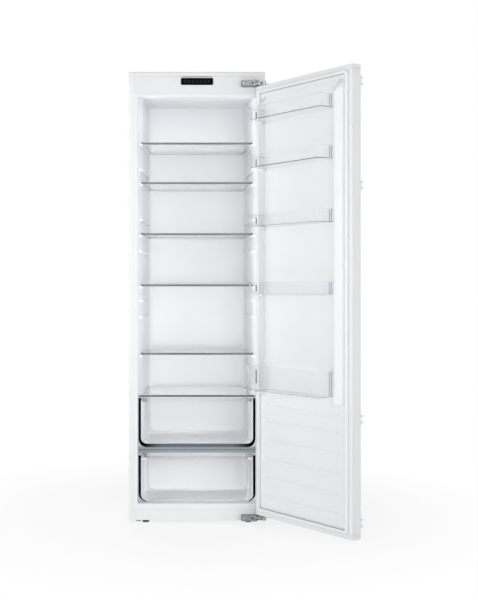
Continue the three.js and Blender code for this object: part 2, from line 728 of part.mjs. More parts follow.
function makeBasePlate() {
  const front = FRONT + BASE_RAIL_DEPTH + GAP;
  const back = BACK - GAP;
  const edge = SIDE - CASE_SHEET - GAP;
  const plate = block(-edge, edge, front, back, 0, BASE_PLATE_SHEET);
  const slotHalf = ROLLER_RADIUS + ROLLER_SLOT_GAP;
  const earHalf = ROLLER_AXLE_RADIUS + ROLLER_EAR_MARGIN;
  const parts = [];
  const slots = [];
  const holes = [];
  for (const side of [1, -1]) {
    const x = side * (SIDE - ROLLER_INSET_X);
    slots.push(block(x - earReach, x + earReach, rollerY - slotHalf, rollerY + slotHalf, -OVERRUN, OVERRUN));
    for (const cheek of [1, -1]) {
      const inner = x + cheek * earReach;
      const outer = inner + cheek * ROLLER_EAR_SHEET;
      const shape = roundedRectangle(
        rollerY - earHalf, rollerY + earHalf, 0, rollerZ + earHalf, ROLLER_AXLE_RADIUS,
      );
      const ear = prismX(shape, Math.min(inner, outer), Math.max(inner, outer));
      const hole = new THREE.CylinderGeometry(
        ROLLER_AXLE_RADIUS + GAP, ROLLER_AXLE_RADIUS + GAP, ROLLER_EAR_SHEET + OVERRUN, ROUND_STEPS,
      );
      hole.rotateZ(Math.PI / 2).translate((inner + outer) / 2, rollerY, rollerZ);
      parts.push(ear);
      holes.push(hole);
    }
  }
  return cut(join(cut(plate, ...slots), machineSheet(), ...parts), ...holes);
}

function makeRoller() {
  const half = ROLLER_WIDTH / 2;
  const axleEnd = earReach + ROLLER_EAR_SHEET;
  const crown = ROLLER_RADIUS - ROLLER_SLOT_GAP;
  return turned([
    [0, -axleEnd],
    [ROLLER_AXLE_RADIUS, -axleEnd],
    [ROLLER_AXLE_RADIUS, -half],
    [crown, -half],
    [ROLLER_RADIUS, ROLLER_SLOT_GAP - half],
    [ROLLER_RADIUS, half - ROLLER_SLOT_GAP],
    [crown, half],
    [ROLLER_AXLE_RADIUS, half],
    [ROLLER_AXLE_RADIUS, axleEnd],
    [0, axleEnd],
  ]).rotateY(Math.PI / 2);
}

const machineWallY = HUMP_Y + LINER_WALL + MACHINE_WALL_INSET;
const machineRoofZ = HUMP_TOP - LINER_WALL - MACHINE_ROOF_DROP;

// The sheet wall and roof of the machine compartment, one piece with the base plate.
function machineSheet() {
  const edge = SIDE - CASE_SHEET - GAP;
  const back = BACK - GAP;
  const shape = polygon([
    [machineWallY, 0],
    [machineWallY + MACHINE_SHEET, 0],
    [machineWallY + MACHINE_SHEET, machineRoofZ - MACHINE_SHEET],
    [back, machineRoofZ - MACHINE_SHEET],
    [back, machineRoofZ],
    [machineWallY, machineRoofZ],
  ]);
  return prismX(shape, -edge, edge);
}

function makeBackPanel() {
  const edge = SIDE - CASE_SHEET - GAP;
  const y = BACK - CASE_SHEET;
  return block(-edge, edge, y, BACK, machineRoofZ + GAP, CABINET_HEIGHT - CASE_SHEET - GAP);
}

function makeFoam() {
  const edge = SIDE - CASE_SHEET - GAP;
  const front = FRONT + LINER_WALL + GAP;
  const fill = block(
    -edge, edge, front, BACK - CASE_SHEET - GAP,
    BASE_PLATE_SHEET + GAP, CABINET_HEIGHT - CASE_SHEET - GAP,
  );
  const machine = block(
    -SIDE, SIDE, machineWallY - GAP, BACK + OVERRUN, -OVERRUN, machineRoofZ + GAP,
  );
  const head = block(
    -SIDE, SIDE, FRONT - OVERRUN, FRONT + TOP_RAIL_DEPTH + GAP,
    FASCIA_BOTTOM - GAP, CABINET_HEIGHT + OVERRUN,
  );
  const foot = block(
    -SIDE, SIDE, FRONT - OVERRUN, FRONT + BASE_RAIL_DEPTH + GAP, -OVERRUN, BASE_RAIL_HEIGHT + GAP,
  );
  const tub = compartment(LINER_WALL + GAP);
  const mouth = block(
    -OPENING_HALF, OPENING_HALF, FRONT, FRONT + LINER_WALL + OVERRUN, FLOOR, OPENING_TOP,
  );
  return cut(fill, machine, head, foot, tub, mouth);
}

// Machine compartment: compressor, evaporation tray and mains inlet
const compressorY = BACK - COMPRESSOR_SETBACK;
const compressorBottom = BASE_PLATE_SHEET + COMPRESSOR_LIFT;
const compressorTop = compressorBottom + COMPRESSOR_HEIGHT;

function makeCompressor() {
  const radius = COMPRESSOR_RADIUS;
  const height = COMPRESSOR_HEIGHT;
  const seam = compressorBottom + height / 2;
  const wall = radius - COMPRESSOR_SEAM;
  const lowerBowl = height * COMPRESSOR_BOWL_SHARE;
  const shoulder = height * COMPRESSOR_SHOULDER_SHARE;
  const shell = turned([
    [0, compressorBottom],
    [radius - lowerBowl, compressorBottom],
    [wall, compressorBottom + lowerBowl],
    [wall, seam - COMPRESSOR_SEAM],
    [radius, seam],
    [wall, seam + COMPRESSOR_SEAM],
    [wall, compressorTop - height / 3],
    [radius - shoulder, compressorTop - shoulder / 2],
    [radius / 2, compressorTop],
    [0, compressorTop],
  ]);
  shell.scale(COMPRESSOR_STRETCH, 1, 1);
  const halfX = COMPRESSOR_FOOT_SPAN_X / 2;
  const halfY = COMPRESSOR_FOOT_SPAN_Y / 2;
  const grommetBottom = BASE_PLATE_SHEET + GAP;
  const plate = prismZ(
    roundedRectangle(-halfX, halfX, -halfY, halfY, COMPRESSOR_GROMMET_RADIUS),
    compressorBottom, compressorBottom + COMPRESSOR_FOOT_SHEET,
  );
  const grommets = [];
  for (const sideX of [1, -1]) {
    for (const sideY of [1, -1]) {
      const x = sideX * (halfX - COMPRESSOR_GROMMET_RADIUS);
      const y = sideY * (halfY - COMPRESSOR_GROMMET_RADIUS);
      const top = compressorBottom + COMPRESSOR_FOOT_SHEET * 2;
      grommets.push(post(COMPRESSOR_GROMMET_RADIUS - GAP, grommetBottom, top, x, y));
    }
  }
  const terminalX = -radius * COMPRESSOR_STRETCH;
  const terminal = block(
    terminalX - TERMINAL_WIDTH / 2, terminalX + TERMINAL_WIDTH / 2,
    -TERMINAL_DEPTH / 2, TERMINAL_DEPTH / 2,
    seam - TERMINAL_HEIGHT / 2, seam + TERMINAL_HEIGHT / 2,
  );
  const stub = new THREE.CylinderGeometry(STUB_RADIUS, STUB_RADIUS, STUB_LENGTH, COIL_SIDES * 2);
  stub.translate(0, radius + STUB_LENGTH / 2 - OVERRUN, seam + STUB_RISE);
  return join(shell, plate, terminal, stub, ...grommets).translate(COMPRESSOR_X, compressorY, 0);
}

function makeTray() {
  const bottom = compressorTop + GAP;
  const halfX = TRAY_WIDTH / 2;
  const halfY = TRAY_DEPTH / 2;
  const radius = TRAY_RADIUS;
  const outer = roundedRectangle(-halfX, halfX, -halfY, halfY, radius);
  const inner = roundedRectangle(
    TRAY_WALL - halfX, halfX - TRAY_WALL, TRAY_WALL - halfY, halfY - TRAY_WALL, radius - TRAY_WALL,
  );
  const tray = cut(
    prismZ(outer, bottom, bottom + TRAY_HEIGHT),
    prismZ(inner, bottom + TRAY_WALL, bottom + TRAY_HEIGHT + OVERRUN),
  );
  return tray.translate(COMPRESSOR_X, compressorY, 0);
}

function makeInlet() {
  const back = BACK - GAP;
  const bottom = BASE_PLATE_SHEET + GAP;
  const box = block(
    INLET_X - INLET_WIDTH / 2, INLET_X + INLET_WIDTH / 2,
    back - INLET_DEPTH, back, bottom, bottom + INLET_HEIGHT,
  );
  const z = bottom + INLET_HEIGHT / 2;
  const gland = new THREE.CylinderGeometry(
    INLET_GLAND_RADIUS, INLET_GLAND_RADIUS, INLET_GLAND_LENGTH * 2, ROUND_STEPS,
  );
  gland.translate(INLET_X, back, z);
  const bore = new THREE.CylinderGeometry(
    INLET_GLAND_BORE, INLET_GLAND_BORE, INLET_GLAND_LENGTH * 2, ROUND_STEPS,
  );
  bore.translate(INLET_X, back + INLET_GLAND_LENGTH / 2, z);
  return cut(join(box, gland), bore);
}

// Condenser: level runs of tube joined by half turns, with upright wires and stand-off brackets.
function makeCondenser() {
  const y = CABINET_DEPTH / 2 - COIL_TUBE_RADIUS;
  const top = CABINET_HEIGHT - COIL_TOP_MARGIN;
  const pitch = (top - COIL_BOTTOM) / (COIL_RUNS - 1);
  const section = new THREE.Shape(
    Array.from({ length: COIL_SIDES }, (_, index) => {
      const angle = (index / COIL_SIDES) * Math.PI * 2;
      return new THREE.Vector2(Math.cos(angle), Math.sin(angle)).multiplyScalar(COIL_TUBE_RADIUS);
    }),
  );
  const parts = [];
  for (let run = 0; run < COIL_RUNS; run += 1) {
    const z = COIL_BOTTOM + run * pitch;
    const tube = new THREE.CylinderGeometry(
      COIL_TUBE_RADIUS, COIL_TUBE_RADIUS, COIL_HALF_WIDTH * 2, COIL_SIDES,
    );
    parts.push(tube.rotateZ(Math.PI / 2).translate(0, y, z));
    if (run + 1 < COIL_RUNS) {
      const side = run % 2 ? -1 : 1;
      const radius = pitch / 2;
      const points = [];
      for (let step = 0; step <= COIL_TURN_STEPS; step += 1) {
        const angle = (step / COIL_TURN_STEPS - 1 / 2) * Math.PI;
        const reach = side * (COIL_HALF_WIDTH - GAP + radius * Math.cos(angle) * COIL_TURN_SHARE);
        points.push(new THREE.Vector3(reach, y, z + radius + radius * Math.sin(angle)));
      }
      const bend = new THREE.ExtrudeGeometry(section, {
        steps: COIL_TURN_STEPS + 2,
        extrudePath: new THREE.CatmullRomCurve3(points),
        bevelEnabled: false,
      });
      parts.push(bend);
    }
  }
  const wireBottom = COIL_BOTTOM - pitch / 2;
  const wireTop = top + pitch / 2;
  const wireFront = y - COIL_TUBE_RADIUS / 2 - COIL_WIRE;
  const halfWire = COIL_WIRE / 2;
  for (const share of COIL_WIRE_SPACING_SHARES) {
    const x = share * COIL_HALF_WIDTH;
    parts.push(block(x - halfWire, x + halfWire, wireFront, wireFront + COIL_WIRE, wireBottom, wireTop));
  }
  const outerShare = Math.max(...COIL_WIRE_SPACING_SHARES);
  for (const side of [1, -1]) {
    for (const [from, to] of [
      [wireBottom, wireBottom + COIL_BRACKET_HEIGHT],
      [wireTop - COIL_BRACKET_HEIGHT, wireTop],
    ]) {
      const x = side * outerShare * COIL_HALF_WIDTH;
      const half = COIL_BRACKET_WIDTH / 2;
      parts.push(block(x - half, x + half, BACK + GAP, wireFront + COIL_WIRE / 2, from, to));
    }
  }
  return join(...parts);
}

// Interior light under the ceiling
function makeLight() {
  const y = FRONT + LINTEL_DEPTH + LIGHT_SETBACK;
  const shape = roundedRectangle(-LIGHT_WIDTH / 2, LIGHT_WIDTH / 2, y, y + LIGHT_DEPTH, LIGHT_RADIUS);
  return prismZ(shape, CEILING - GAP - LIGHT_THICKNESS, CEILING - GAP);
}

// A shelf's plan between its front and the back wall, drawn in by inset on all sides
function shelfPlan(front, sideInset, frontInset, backInset) {
  const y0 = front + frontInset;
  const y1 = LINER_BACK - SHELF_BACK_GAP - backInset;
  const halfFront = wallHalf(y0) - SHELF_SIDE_GAP - sideInset;
  const halfBack = wallHalf(CORNER_START) - SHELF_SIDE_GAP - sideInset;
  const cornerY = CORNER_START - SHELF_BACK_GAP - backInset;
  const backHalf = BACK_HALF - SHELF_SIDE_GAP - sideInset;
  return polygon([
    [-halfFront, y0],
    [halfFront, y0],
    [halfBack, cornerY],
    [backHalf, y1],
    [-backHalf, y1],
    [-halfBack, cornerY],
  ]);
}

function makeShelfFrame(front, level) {
  const z0 = level - SHELF_FRAME_HEIGHT / 2;
  const z1 = level + SHELF_FRAME_HEIGHT / 2;
  const body = prismZ(shelfPlan(front, 0, 0, 0), z0, z1);
  const rimFront = LINER_BACK - SHELF_BACK_GAP - SHELF_REAR_RIM_DEPTH;
  const rimBlock = block(-SIDE, SIDE, rimFront, BACK, z0, z0 + SHELF_REAR_RIM_HEIGHT);
  const rim = common(prismZ(shelfPlan(front, 0, 0, 0), z0, z0 + SHELF_REAR_RIM_HEIGHT), rimBlock);
  const bandShift = SHELF_REBATE;
  const seat = shelfPlan(
    front, SHELF_SIDE_BAND - bandShift, SHELF_FRONT_BAND - bandShift, SHELF_REAR_BAND - bandShift,
  );
  const window = shelfPlan(front, SHELF_SIDE_BAND, SHELF_FRONT_BAND, SHELF_REAR_BAND);
  const seatBottom = z1 - GLASS_THICKNESS - GAP;
  return cut(join(body, rim), prismZ(seat, seatBottom, z1 + OVERRUN), prismZ(window, z0 - OVERRUN, z1));
}

function makeShelfGlass(front, level) {
  const z1 = level + SHELF_FRAME_HEIGHT / 2;
  const shift = SHELF_REBATE - GAP;
  const plan = shelfPlan(
    front, SHELF_SIDE_BAND - shift, SHELF_FRONT_BAND - shift, SHELF_REAR_BAND - shift,
  );
  return prismZ(plan, z1 - GLASS_THICKNESS, z1);
}

function makeDivider() {
  const y0 = FRONT + CRISPER_SETBACK;
  const y1 = HUMP_Y - GAP;
  const half0 = wallHalf(y0) - SHELF_SIDE_GAP;
  const half1 = wallHalf(y1) - SHELF_SIDE_GAP;
  const wall = DIVIDER_WALL;
  const outer = polygon([[-half0, y0], [half0, y0], [half1, y1], [-half1, y1]]);
  const inner = polygon([
    [wall - half0, y0 + wall], [half0 - wall, y0 + wall], [half1 - wall, y1 - wall], [wall - half1, y1 - wall],
  ]);
  const skirtBottom = dividerTop - DIVIDER_SKIRT;
  const grooveTop = dividerTop - DIVIDER_GROOVE_DROP;
  const groove = block(
    -half0, half0, y0 - OVERRUN, y0 + DIVIDER_GROOVE_DEPTH, grooveTop - DIVIDER_GROOVE_HEIGHT, grooveTop,
  );
  return cut(
    prismZ(outer, skirtBottom, dividerTop),
    prismZ(inner, skirtBottom - OVERRUN, dividerTop - wall),
    groove,
  );
}

// Drawers: a moulded tub with a wider front, a grip lip and side flanges that rest on the runners
function makeDrawer(drawer) {
  const y0 = FRONT + DRAWER_SETBACK;
  const y1 = drawer.back;
  const z0 = drawer.bottom;
  const z1 = z0 + drawer.height;
  const wall = DRAWER_WALL;
  const half = DRAWER_BODY_HALF;
  const radius = DRAWER_CORNER_RADIUS;
  const bodyFront = y0 + DRAWER_FRONT_WALL - GAP;
  const body = cut(
    prismY(tubShape(half, z0 + wall, z1, radius), bodyFront, y1),
    prismY(tubShape(half - wall, z0 + wall * 2, z1 + OVERRUN, radius - wall), y0, y1 - wall),
  );
  const front = prismY(tubShape(DRAWER_FRONT_HALF, z0, z1, radius), y0, y0 + DRAWER_FRONT_WALL);
  const lip = block(-half, half, y0 - DRAWER_LIP_DEPTH, y0 + wall, z1 - wall, z1);
  const lipEdge = block(
    -half, half, y0 - DRAWER_LIP_DEPTH, y0 - DRAWER_LIP_DEPTH + wall, z1 - DRAWER_LIP_HEIGHT, z1,
  );
  const flangeZ = flangeBottom(drawer);
  const flanges = mirroredPair((side) => {
    const inner = side * (half - wall / 2);
    const outer = side * (half + DRAWER_FLANGE_WIDTH);
    const start = bodyFront + SEAL_DEPTH + RIB_LEAD;
    const left = Math.min(inner, outer);
    const right = Math.max(inner, outer);
    return block(left, right, start, y1 - wall, flangeZ, flangeZ + DRAWER_FLANGE_HEIGHT);
  });
  return join(body, front, lip, lipEdge, ...flanges);
}

// The dark seal round each drawer front: two legs on the side walls, joined under the drawer.
function makeSeal(drawer) {
  const y0 = FRONT + DRAWER_SETBACK;
  const y1 = y0 + SEAL_DEPTH;
  const outerHalf = wallHalf(y1) - SEAL_SIDE_GAP;
  const innerHalf = DRAWER_FRONT_HALF + SEAL_SIDE_GAP;
  const z1 = drawer.bottom + drawer.height;
  const floor = drawer.bottom - SEAL_SIDE_GAP;
  const radius = DRAWER_CORNER_RADIUS;
  const outer = tubShape(outerHalf, drawer.sealBottom, z1, radius + outerHalf - innerHalf);
  const inner = tubShape(innerHalf, floor, z1 + OVERRUN, radius + SEAL_SIDE_GAP);
  return cut(prismY(outer, y0, y1), prismY(inner, y0 - OVERRUN, y1 + OVERRUN));
}

// Door pieces, all at the closed position
const dykeBottom = DOOR_BOTTOM + DYKE_BOTTOM_RISE;
const dykeTop = DOOR_TOP - DYKE_TOP_MARGIN;
const dykeRoot = DOOR_SIDE - DYKE_ROOT_INSET;
const dykeCrest = dykeRoot - DYKE_FLANK;
const dykeCrestInner = dykeCrest - DYKE_CREST_WIDTH;
const bayHalf = dykeCrestInner - DYKE_INNER_FLANK;
const bayFloorY = DOOR_INNER_Y + BAY_FLOOR_RISE;

// A ring of the tall side ridge: its outline in X and Z, with the upper outer corner rounded.
function dykeRing(side, outer, inner, foot, top, radius, y) {
  const round = Math.min(radius, (outer - inner) * CREST_ROUND_SHARE);
  const shape = new THREE.Shape();
  shape.moveTo(outer, foot);
  shape.lineTo(outer, top - round);
  shape.absarc(outer - round, top - round, round, 0, Math.PI / 2);
  shape.lineTo(inner, top);
  shape.lineTo(inner, foot);
  const points = shape.extractPoints(CORNER_STEPS).shape;
  const ring = points.map((point) => [side * point.x, y, point.y]);
  return side > 0 ? ring.reverse() : ring;
}

// The tall ridge on one side of the bins. Its skin moves inwards by shrink.
function dykeForm(side, shrink) {
  const foot = dykeBottom + shrink;
  const root = dykeRoot - shrink;
  const inner = bayHalf + shrink;
  const crestOuter = dykeCrest - shrink;
  const crestInner = dykeCrestInner + shrink / 2;
  const crestTop = dykeTop - DYKE_TOP_FLANK - shrink;
  const crestY = DOOR_INNER_Y + DYKE_HEIGHT - shrink;
  const soft = DYKE_ROUND / 2;
  return loft([
    dykeRing(side, root, inner, foot, dykeTop - shrink, DYKE_ROOT_RADIUS - shrink,
      DOOR_INNER_Y - DOOR_LINER_WALL - shrink),
    dykeRing(side, root, inner, foot, dykeTop - shrink, DYKE_ROOT_RADIUS - shrink, DOOR_INNER_Y - shrink),
    dykeRing(side, crestOuter + soft, crestInner - soft / 2, foot, crestTop + soft, DYKE_CREST_RADIUS,
      crestY - DYKE_ROUND),
    dykeRing(side, crestOuter, crestInner, foot + soft, crestTop - soft, DYKE_CREST_RADIUS - soft, crestY),
  ]);
}

// The raised floor of the bay between the two ridges.
function bayPad(shrink) {
  const half = dykeRoot - BAY_PAD_MARGIN - shrink;
  const shape = roundedRectangle(
    -half, half, dykeBottom + shrink, dykeTop - BAY_PAD_MARGIN - shrink, BAY_PAD_RADIUS - shrink,
  );
  const foot = block(
    -half, half, DOOR_INNER_Y - DOOR_LINER_WALL - shrink, bayFloorY - shrink,
    dykeBottom + shrink, dykeBottom + BAY_PAD_RADIUS,
  );
  return join(prismY(shape, DOOR_INNER_Y - DOOR_LINER_WALL - shrink, bayFloorY - shrink), foot);
}

const lowerPanelBottom = DOOR_BOTTOM + LOWER_PANEL_MARGIN;

// The flat panel below the bay, with level grooves pressed into it.
function lowerPanelForm(shrink) {
  const half = dykeRoot - shrink;
  const top = dykeBottom + LOWER_PANEL_OVERLAP;
  const base = DOOR_INNER_Y - DOOR_LINER_WALL - shrink;
  const face = DOOR_INNER_Y + LOWER_PANEL_RISE - shrink;
  const shape = roundedRectangle(
    -half, half, lowerPanelBottom + shrink, top, LOWER_PANEL_RADIUS - shrink,
  );
  const square = block(-half, half, base, face, dykeBottom - LOWER_PANEL_RADIUS, top);
  const grooves = GROOVE_RISE_SHARES.map((share) => {
    const z = lowerPanelBottom + share * (dykeBottom - lowerPanelBottom);
    const mouth = GROOVE_HEIGHT / 2 + shrink;
    const floor = GROOVE_FLOOR_HEIGHT / 2 + shrink;
    const outline = polygon([
      [face - GROOVE_DEPTH, z - floor],
      [face, z - mouth],
      [face + OVERRUN, z - mouth],
      [face + OVERRUN, z + mouth],
      [face, z + mouth],
      [face - GROOVE_DEPTH, z + floor],
    ]);
    return prismX(outline, GROOVE_INSET - dykeRoot - shrink, dykeRoot - GROOVE_INSET + shrink);
  });
  return cut(join(prismY(shape, base, face), square), ...grooves);
}

function doorForm(shrink) {
  const ridges = mirroredPair((side) => dykeForm(side, shrink));
  return join(bayPad(shrink), lowerPanelForm(shrink), ...ridges);
}

const binLevels = BIN_RISE_SHARES.map((share) => DOOR_BOTTOM + share * DOOR_HEIGHT);

// The ledges on the ridges' inner flanks, one under each end of each bin.
function binLedges() {
  return binLevels.flatMap((level) =>
    mirroredPair((side) => {
      const inner = side * (bayHalf - BIN_LEDGE_WIDTH);
      const outer = side * (bayHalf + DYKE_INNER_FLANK);
      const top = level - GAP;
      return block(
        Math.min(inner, outer), Math.max(inner, outer),
        DOOR_INNER_Y, bayFloorY + BIN_LEDGE_DEPTH, top - BIN_LEDGE_HEIGHT, top,
      );
    }),
  );
}

const doorPanelBottom = DOOR_BOTTOM + DOOR_CAP_HEIGHT + GAP;
const doorPanelTop = DOOR_TOP - DOOR_CAP_HEIGHT - GAP;
const linerEdgeY = DOOR_INNER_Y - DOOR_LINER_EDGE;

function makeDoorLiner() {
  const wall = DOOR_LINER_WALL;
  const tray = cut(
    block(-DOOR_SIDE, DOOR_SIDE, linerEdgeY, DOOR_INNER_Y, doorPanelBottom, doorPanelTop),
    block(
      wall - DOOR_SIDE, DOOR_SIDE - wall, linerEdgeY - OVERRUN, DOOR_INNER_Y - wall,
      doorPanelBottom + wall, doorPanelTop - wall,
    ),
  );
  return cut(join(tray, doorForm(0), ...binLedges()), doorForm(wall));
}

function makeDoorPanel() {
  const sheet = DOOR_SHEET;
  const back = linerEdgeY - GAP;
  const outer = block(-DOOR_SIDE, DOOR_SIDE, DOOR_OUTER_Y, back, doorPanelBottom, doorPanelTop);
  const hollow = block(
    sheet - DOOR_SIDE, DOOR_SIDE - sheet, DOOR_OUTER_Y + sheet, back - sheet,
    doorPanelBottom - OVERRUN, doorPanelTop + OVERRUN,
  );
  const mouthHalf = DOOR_SIDE - DOOR_PANEL_RETURN;
  const mouth = block(
    -mouthHalf, mouthHalf, DOOR_OUTER_Y + sheet, back + OVERRUN,
    doorPanelBottom - OVERRUN, doorPanelTop + OVERRUN,
  );
  return cut(outer, hollow, mouth);
}

function makeDoorFoam() {
  const edge = DOOR_SIDE - DOOR_PANEL_RETURN - GAP;
  const back = DOOR_INNER_Y - DOOR_LINER_WALL - GAP;
  const core = block(
    -edge, edge, DOOR_OUTER_Y + DOOR_SHEET + GAP, back, doorPanelBottom + DOOR_LINER_WALL + GAP,
    doorPanelTop - DOOR_LINER_WALL - GAP,
  );
  return join(core, doorForm(DOOR_LINER_WALL + GAP));
}

// An end cap: a moulded bar as thick as the door, its outer long edges chamfered.
function makeDoorCap(z0, z1) {
  const edge = DOOR_SHEET;
  const shape = polygon([
    [DOOR_OUTER_Y + edge, z0],
    [DOOR_INNER_Y - edge, z0],
    [DOOR_INNER_Y, z0 + edge],
    [DOOR_INNER_Y, z1 - edge],
    [DOOR_INNER_Y - edge, z1],
    [DOOR_OUTER_Y + edge, z1],
    [DOOR_OUTER_Y, z1 - edge],
    [DOOR_OUTER_Y, z0 + edge],
  ]);
  return prismX(shape, -DOOR_SIDE, DOOR_SIDE);
}

// The magnetic gasket: a narrow root on the liner and a wider bulb that meets the cabinet.
function makeGasket() {
  const outer = DOOR_SIDE - GASKET_INSET;
  const z0 = DOOR_BOTTOM + GASKET_END_MARGIN;
  const z1 = DOOR_TOP - GASKET_END_MARGIN;
  const rootInset = (GASKET_WIDTH - GASKET_ROOT_WIDTH) / 2;
  const ring = (inset, width, y0, y1) => {
    const far = outer - inset;
    const near = far - width;
    const radius = GASKET_RADIUS - inset;
    const whole = roundedRectangle(-far, far, z0 + inset, z1 - inset, radius);
    const hole = roundedRectangle(
      -near, near, z0 + inset + width, z1 - inset - width, Math.max(radius - width, GAP),
    );
    return cut(prismY(whole, y0, y1), prismY(hole, y0 - OVERRUN, y1 + OVERRUN));
  };
  const bulbY = DOOR_INNER_Y + GAP + GASKET_ROOT_HEIGHT;
  const front = FRONT - GAP;
  const lipInset = rootInset / 2;
  return join(
    ring(rootInset, GASKET_ROOT_WIDTH, DOOR_INNER_Y + GAP, bulbY + GAP),
    ring(0, GASKET_WIDTH, bulbY, front - rootInset / 2),
    ring(lipInset, GASKET_WIDTH - rootInset, front - rootInset, front),
  );
}

// A bin: a drafted tray with rounded front corners, which stands on the liner's ledges.
function makeBin(level, height, depth) {
  const half = bayHalf - BIN_SIDE_GAP;
  const y0 = bayFloorY + BIN_BACK_GAP;
  const y1 = y0 + depth;
  const ring = (inset, draft, z) => {
    const shape = new THREE.Shape();
    const radius = BIN_CORNER_RADIUS;
    const side = half - inset - draft;
    const front = y1 - inset - draft;
    shape.moveTo(-side, y0 + inset);
    shape.lineTo(side, y0 + inset);
    shape.absarc(side - radius, front - radius, radius, 0, Math.PI / 2);
    shape.absarc(radius - side, front - radius, radius, Math.PI / 2, Math.PI);
    return shape.extractPoints(CORNER_STEPS).shape.map((point) => [point.x, point.y, z]);
  };
  const top = level + height;
  const outer = loft([ring(0, BIN_DRAFT, level), ring(0, 0, top)]);
  const inner = loft([
    ring(BIN_WALL, BIN_DRAFT, level + BIN_WALL), ring(BIN_WALL, 0, top + OVERRUN),
  ]);
  return cut(outer, inner);
}

// Hinge pieces. Layers are measured outwards from the door's end, up at the top and down at the bottom.
const DOOR_ENDS = [
  { name: "upper", at: DOOR_TOP, sign: 1 },
  { name: "lower", at: DOOR_BOTTOM, sign: -1 },
];

const housingBottom = GAP + PLATE_SHEET + HOUSING_LIFT;
const housingTop = housingBottom + HOUSING_HEIGHT;
const linkBottom = GAP + PLATE_SHEET + LINK_LIFT;
const linkTop = linkBottom + LINK_SHEET;
const forkBottom = GAP + PLATE_SHEET + LINK_FORK_LIFT;
const forkTop = forkBottom + LINK_FORK_HEIGHT;

function layer(shape, end, from, to) {
  const a = end.at + end.sign * from;
  const b = end.at + end.sign * to;
  return prismZ(shape, Math.min(a, b), Math.max(a, b));
}

function layerPost(radius, end, from, to, pivot) {
  const a = end.at + end.sign * from;
  const b = end.at + end.sign * to;
  return post(radius, Math.min(a, b), Math.max(a, b), pivot.x, pivot.y);
}

// Two round eyes joined by a waist.
function linkOutline(from, to, eye, waist) {
  const along = new THREE.Vector2().subVectors(to, from);
  const angle = along.angle();
  const shape = new THREE.Shape();
  const open = Math.asin(waist / eye);
  shape.absarc(from.x, from.y, eye, angle + open, angle - open + Math.PI * 2);
  shape.absarc(to.x, to.y, eye, angle + Math.PI + open, angle + Math.PI * 3 - open);
  return shape;
}

function makeHingeHousing(end) {
  const x1 = LINK_PIVOT.x + HOUSING_NOSE;
  const x0 = x1 - HOUSING_LENGTH;
  const y0 = FRONT - GAP - HOUSING_DEPTH;
  const y1 = FRONT - GAP;
  const body = layer(roundedRectangle(x0, x1, y0, y1, HOUSING_RADIUS), end, housingBottom, housingTop);
  const slot = polygon([
    [LINK_PIVOT.x - LINK_EYE_RADIUS - SLOT_EYE_GAP, y0 - OVERRUN],
    [x1 + OVERRUN, y0 - OVERRUN],
    [x1 + OVERRUN, y1 - SLOT_BACK_MARGIN],
    [LINK_PIVOT.x - LINK_EYE_RADIUS - SLOT_EYE_GAP, y1 - SLOT_BACK_MARGIN],
  ]);
  const bore = layerPost(PIN_RADIUS + GAP, end, 0, housingTop + OVERRUN, LINK_PIVOT);
  const middle = end.at + (end.sign * (housingBottom + housingTop)) / 2;
  const pocketStart = x0 + HOUSING_SCREW_INSET + HOUSING_SCREW_RADIUS + HOUSING_POCKET_MARGIN / 2;
  const pocketHalf = HOUSING_HEIGHT / 2 - HOUSING_POCKET_MARGIN;
  const pocket = prismY(
    roundedRectangle(
      pocketStart, pocketStart + HOUSING_POCKET_LENGTH, middle - pocketHalf, middle + pocketHalf,
      HOUSING_POCKET_RADIUS,
    ),
    y0 - OVERRUN, y0 + HOUSING_POCKET_DEPTH,
  );
  const screwX = x0 + HOUSING_SCREW_INSET;
  const recess = post(HOUSING_SCREW_RADIUS, -OVERRUN, HOUSING_SCREW_DEPTH);
  const screwBore = post(HOUSING_SCREW_BORE, -OVERRUN, HOUSING_DEPTH + OVERRUN);
  const screwCuts = [recess, screwBore].map((tool) => tool.rotateX(-Math.PI / 2).translate(screwX, y0, middle));
  const clevis = layer(slot, end, linkBottom - LINK_SIDE_GAP, linkTop + LINK_SIDE_GAP);
  return cut(body, clevis, bore, pocket, ...screwCuts);
}

function makeCabinetPin(end) {
  const shank = layerPost(PIN_RADIUS, end, housingBottom + GAP, housingTop + GAP * 2, LINK_PIVOT);
  const headFrom = housingTop + GAP;
  const head = layerPost(PIN_HEAD_RADIUS, end, headFrom, headFrom + PIN_HEAD_HEIGHT, LINK_PIVOT);
  return join(shank, head);
}

// A straight stretch of the link, between two distances from its first pivot.
function linkStretch(from, to, start, finish, half) {
  const along = new THREE.Vector2().subVectors(to, from).normalize();
  const across = new THREE.Vector2(-along.y, along.x);
  const corner = (distance, side) => {
    const point = from.clone().addScaledVector(along, distance).addScaledVector(across, side * half);
    return [point.x, point.y];
  };
  return polygon([corner(start, 1), corner(start, -1), corner(finish, -1), corner(finish, 1)]);
}

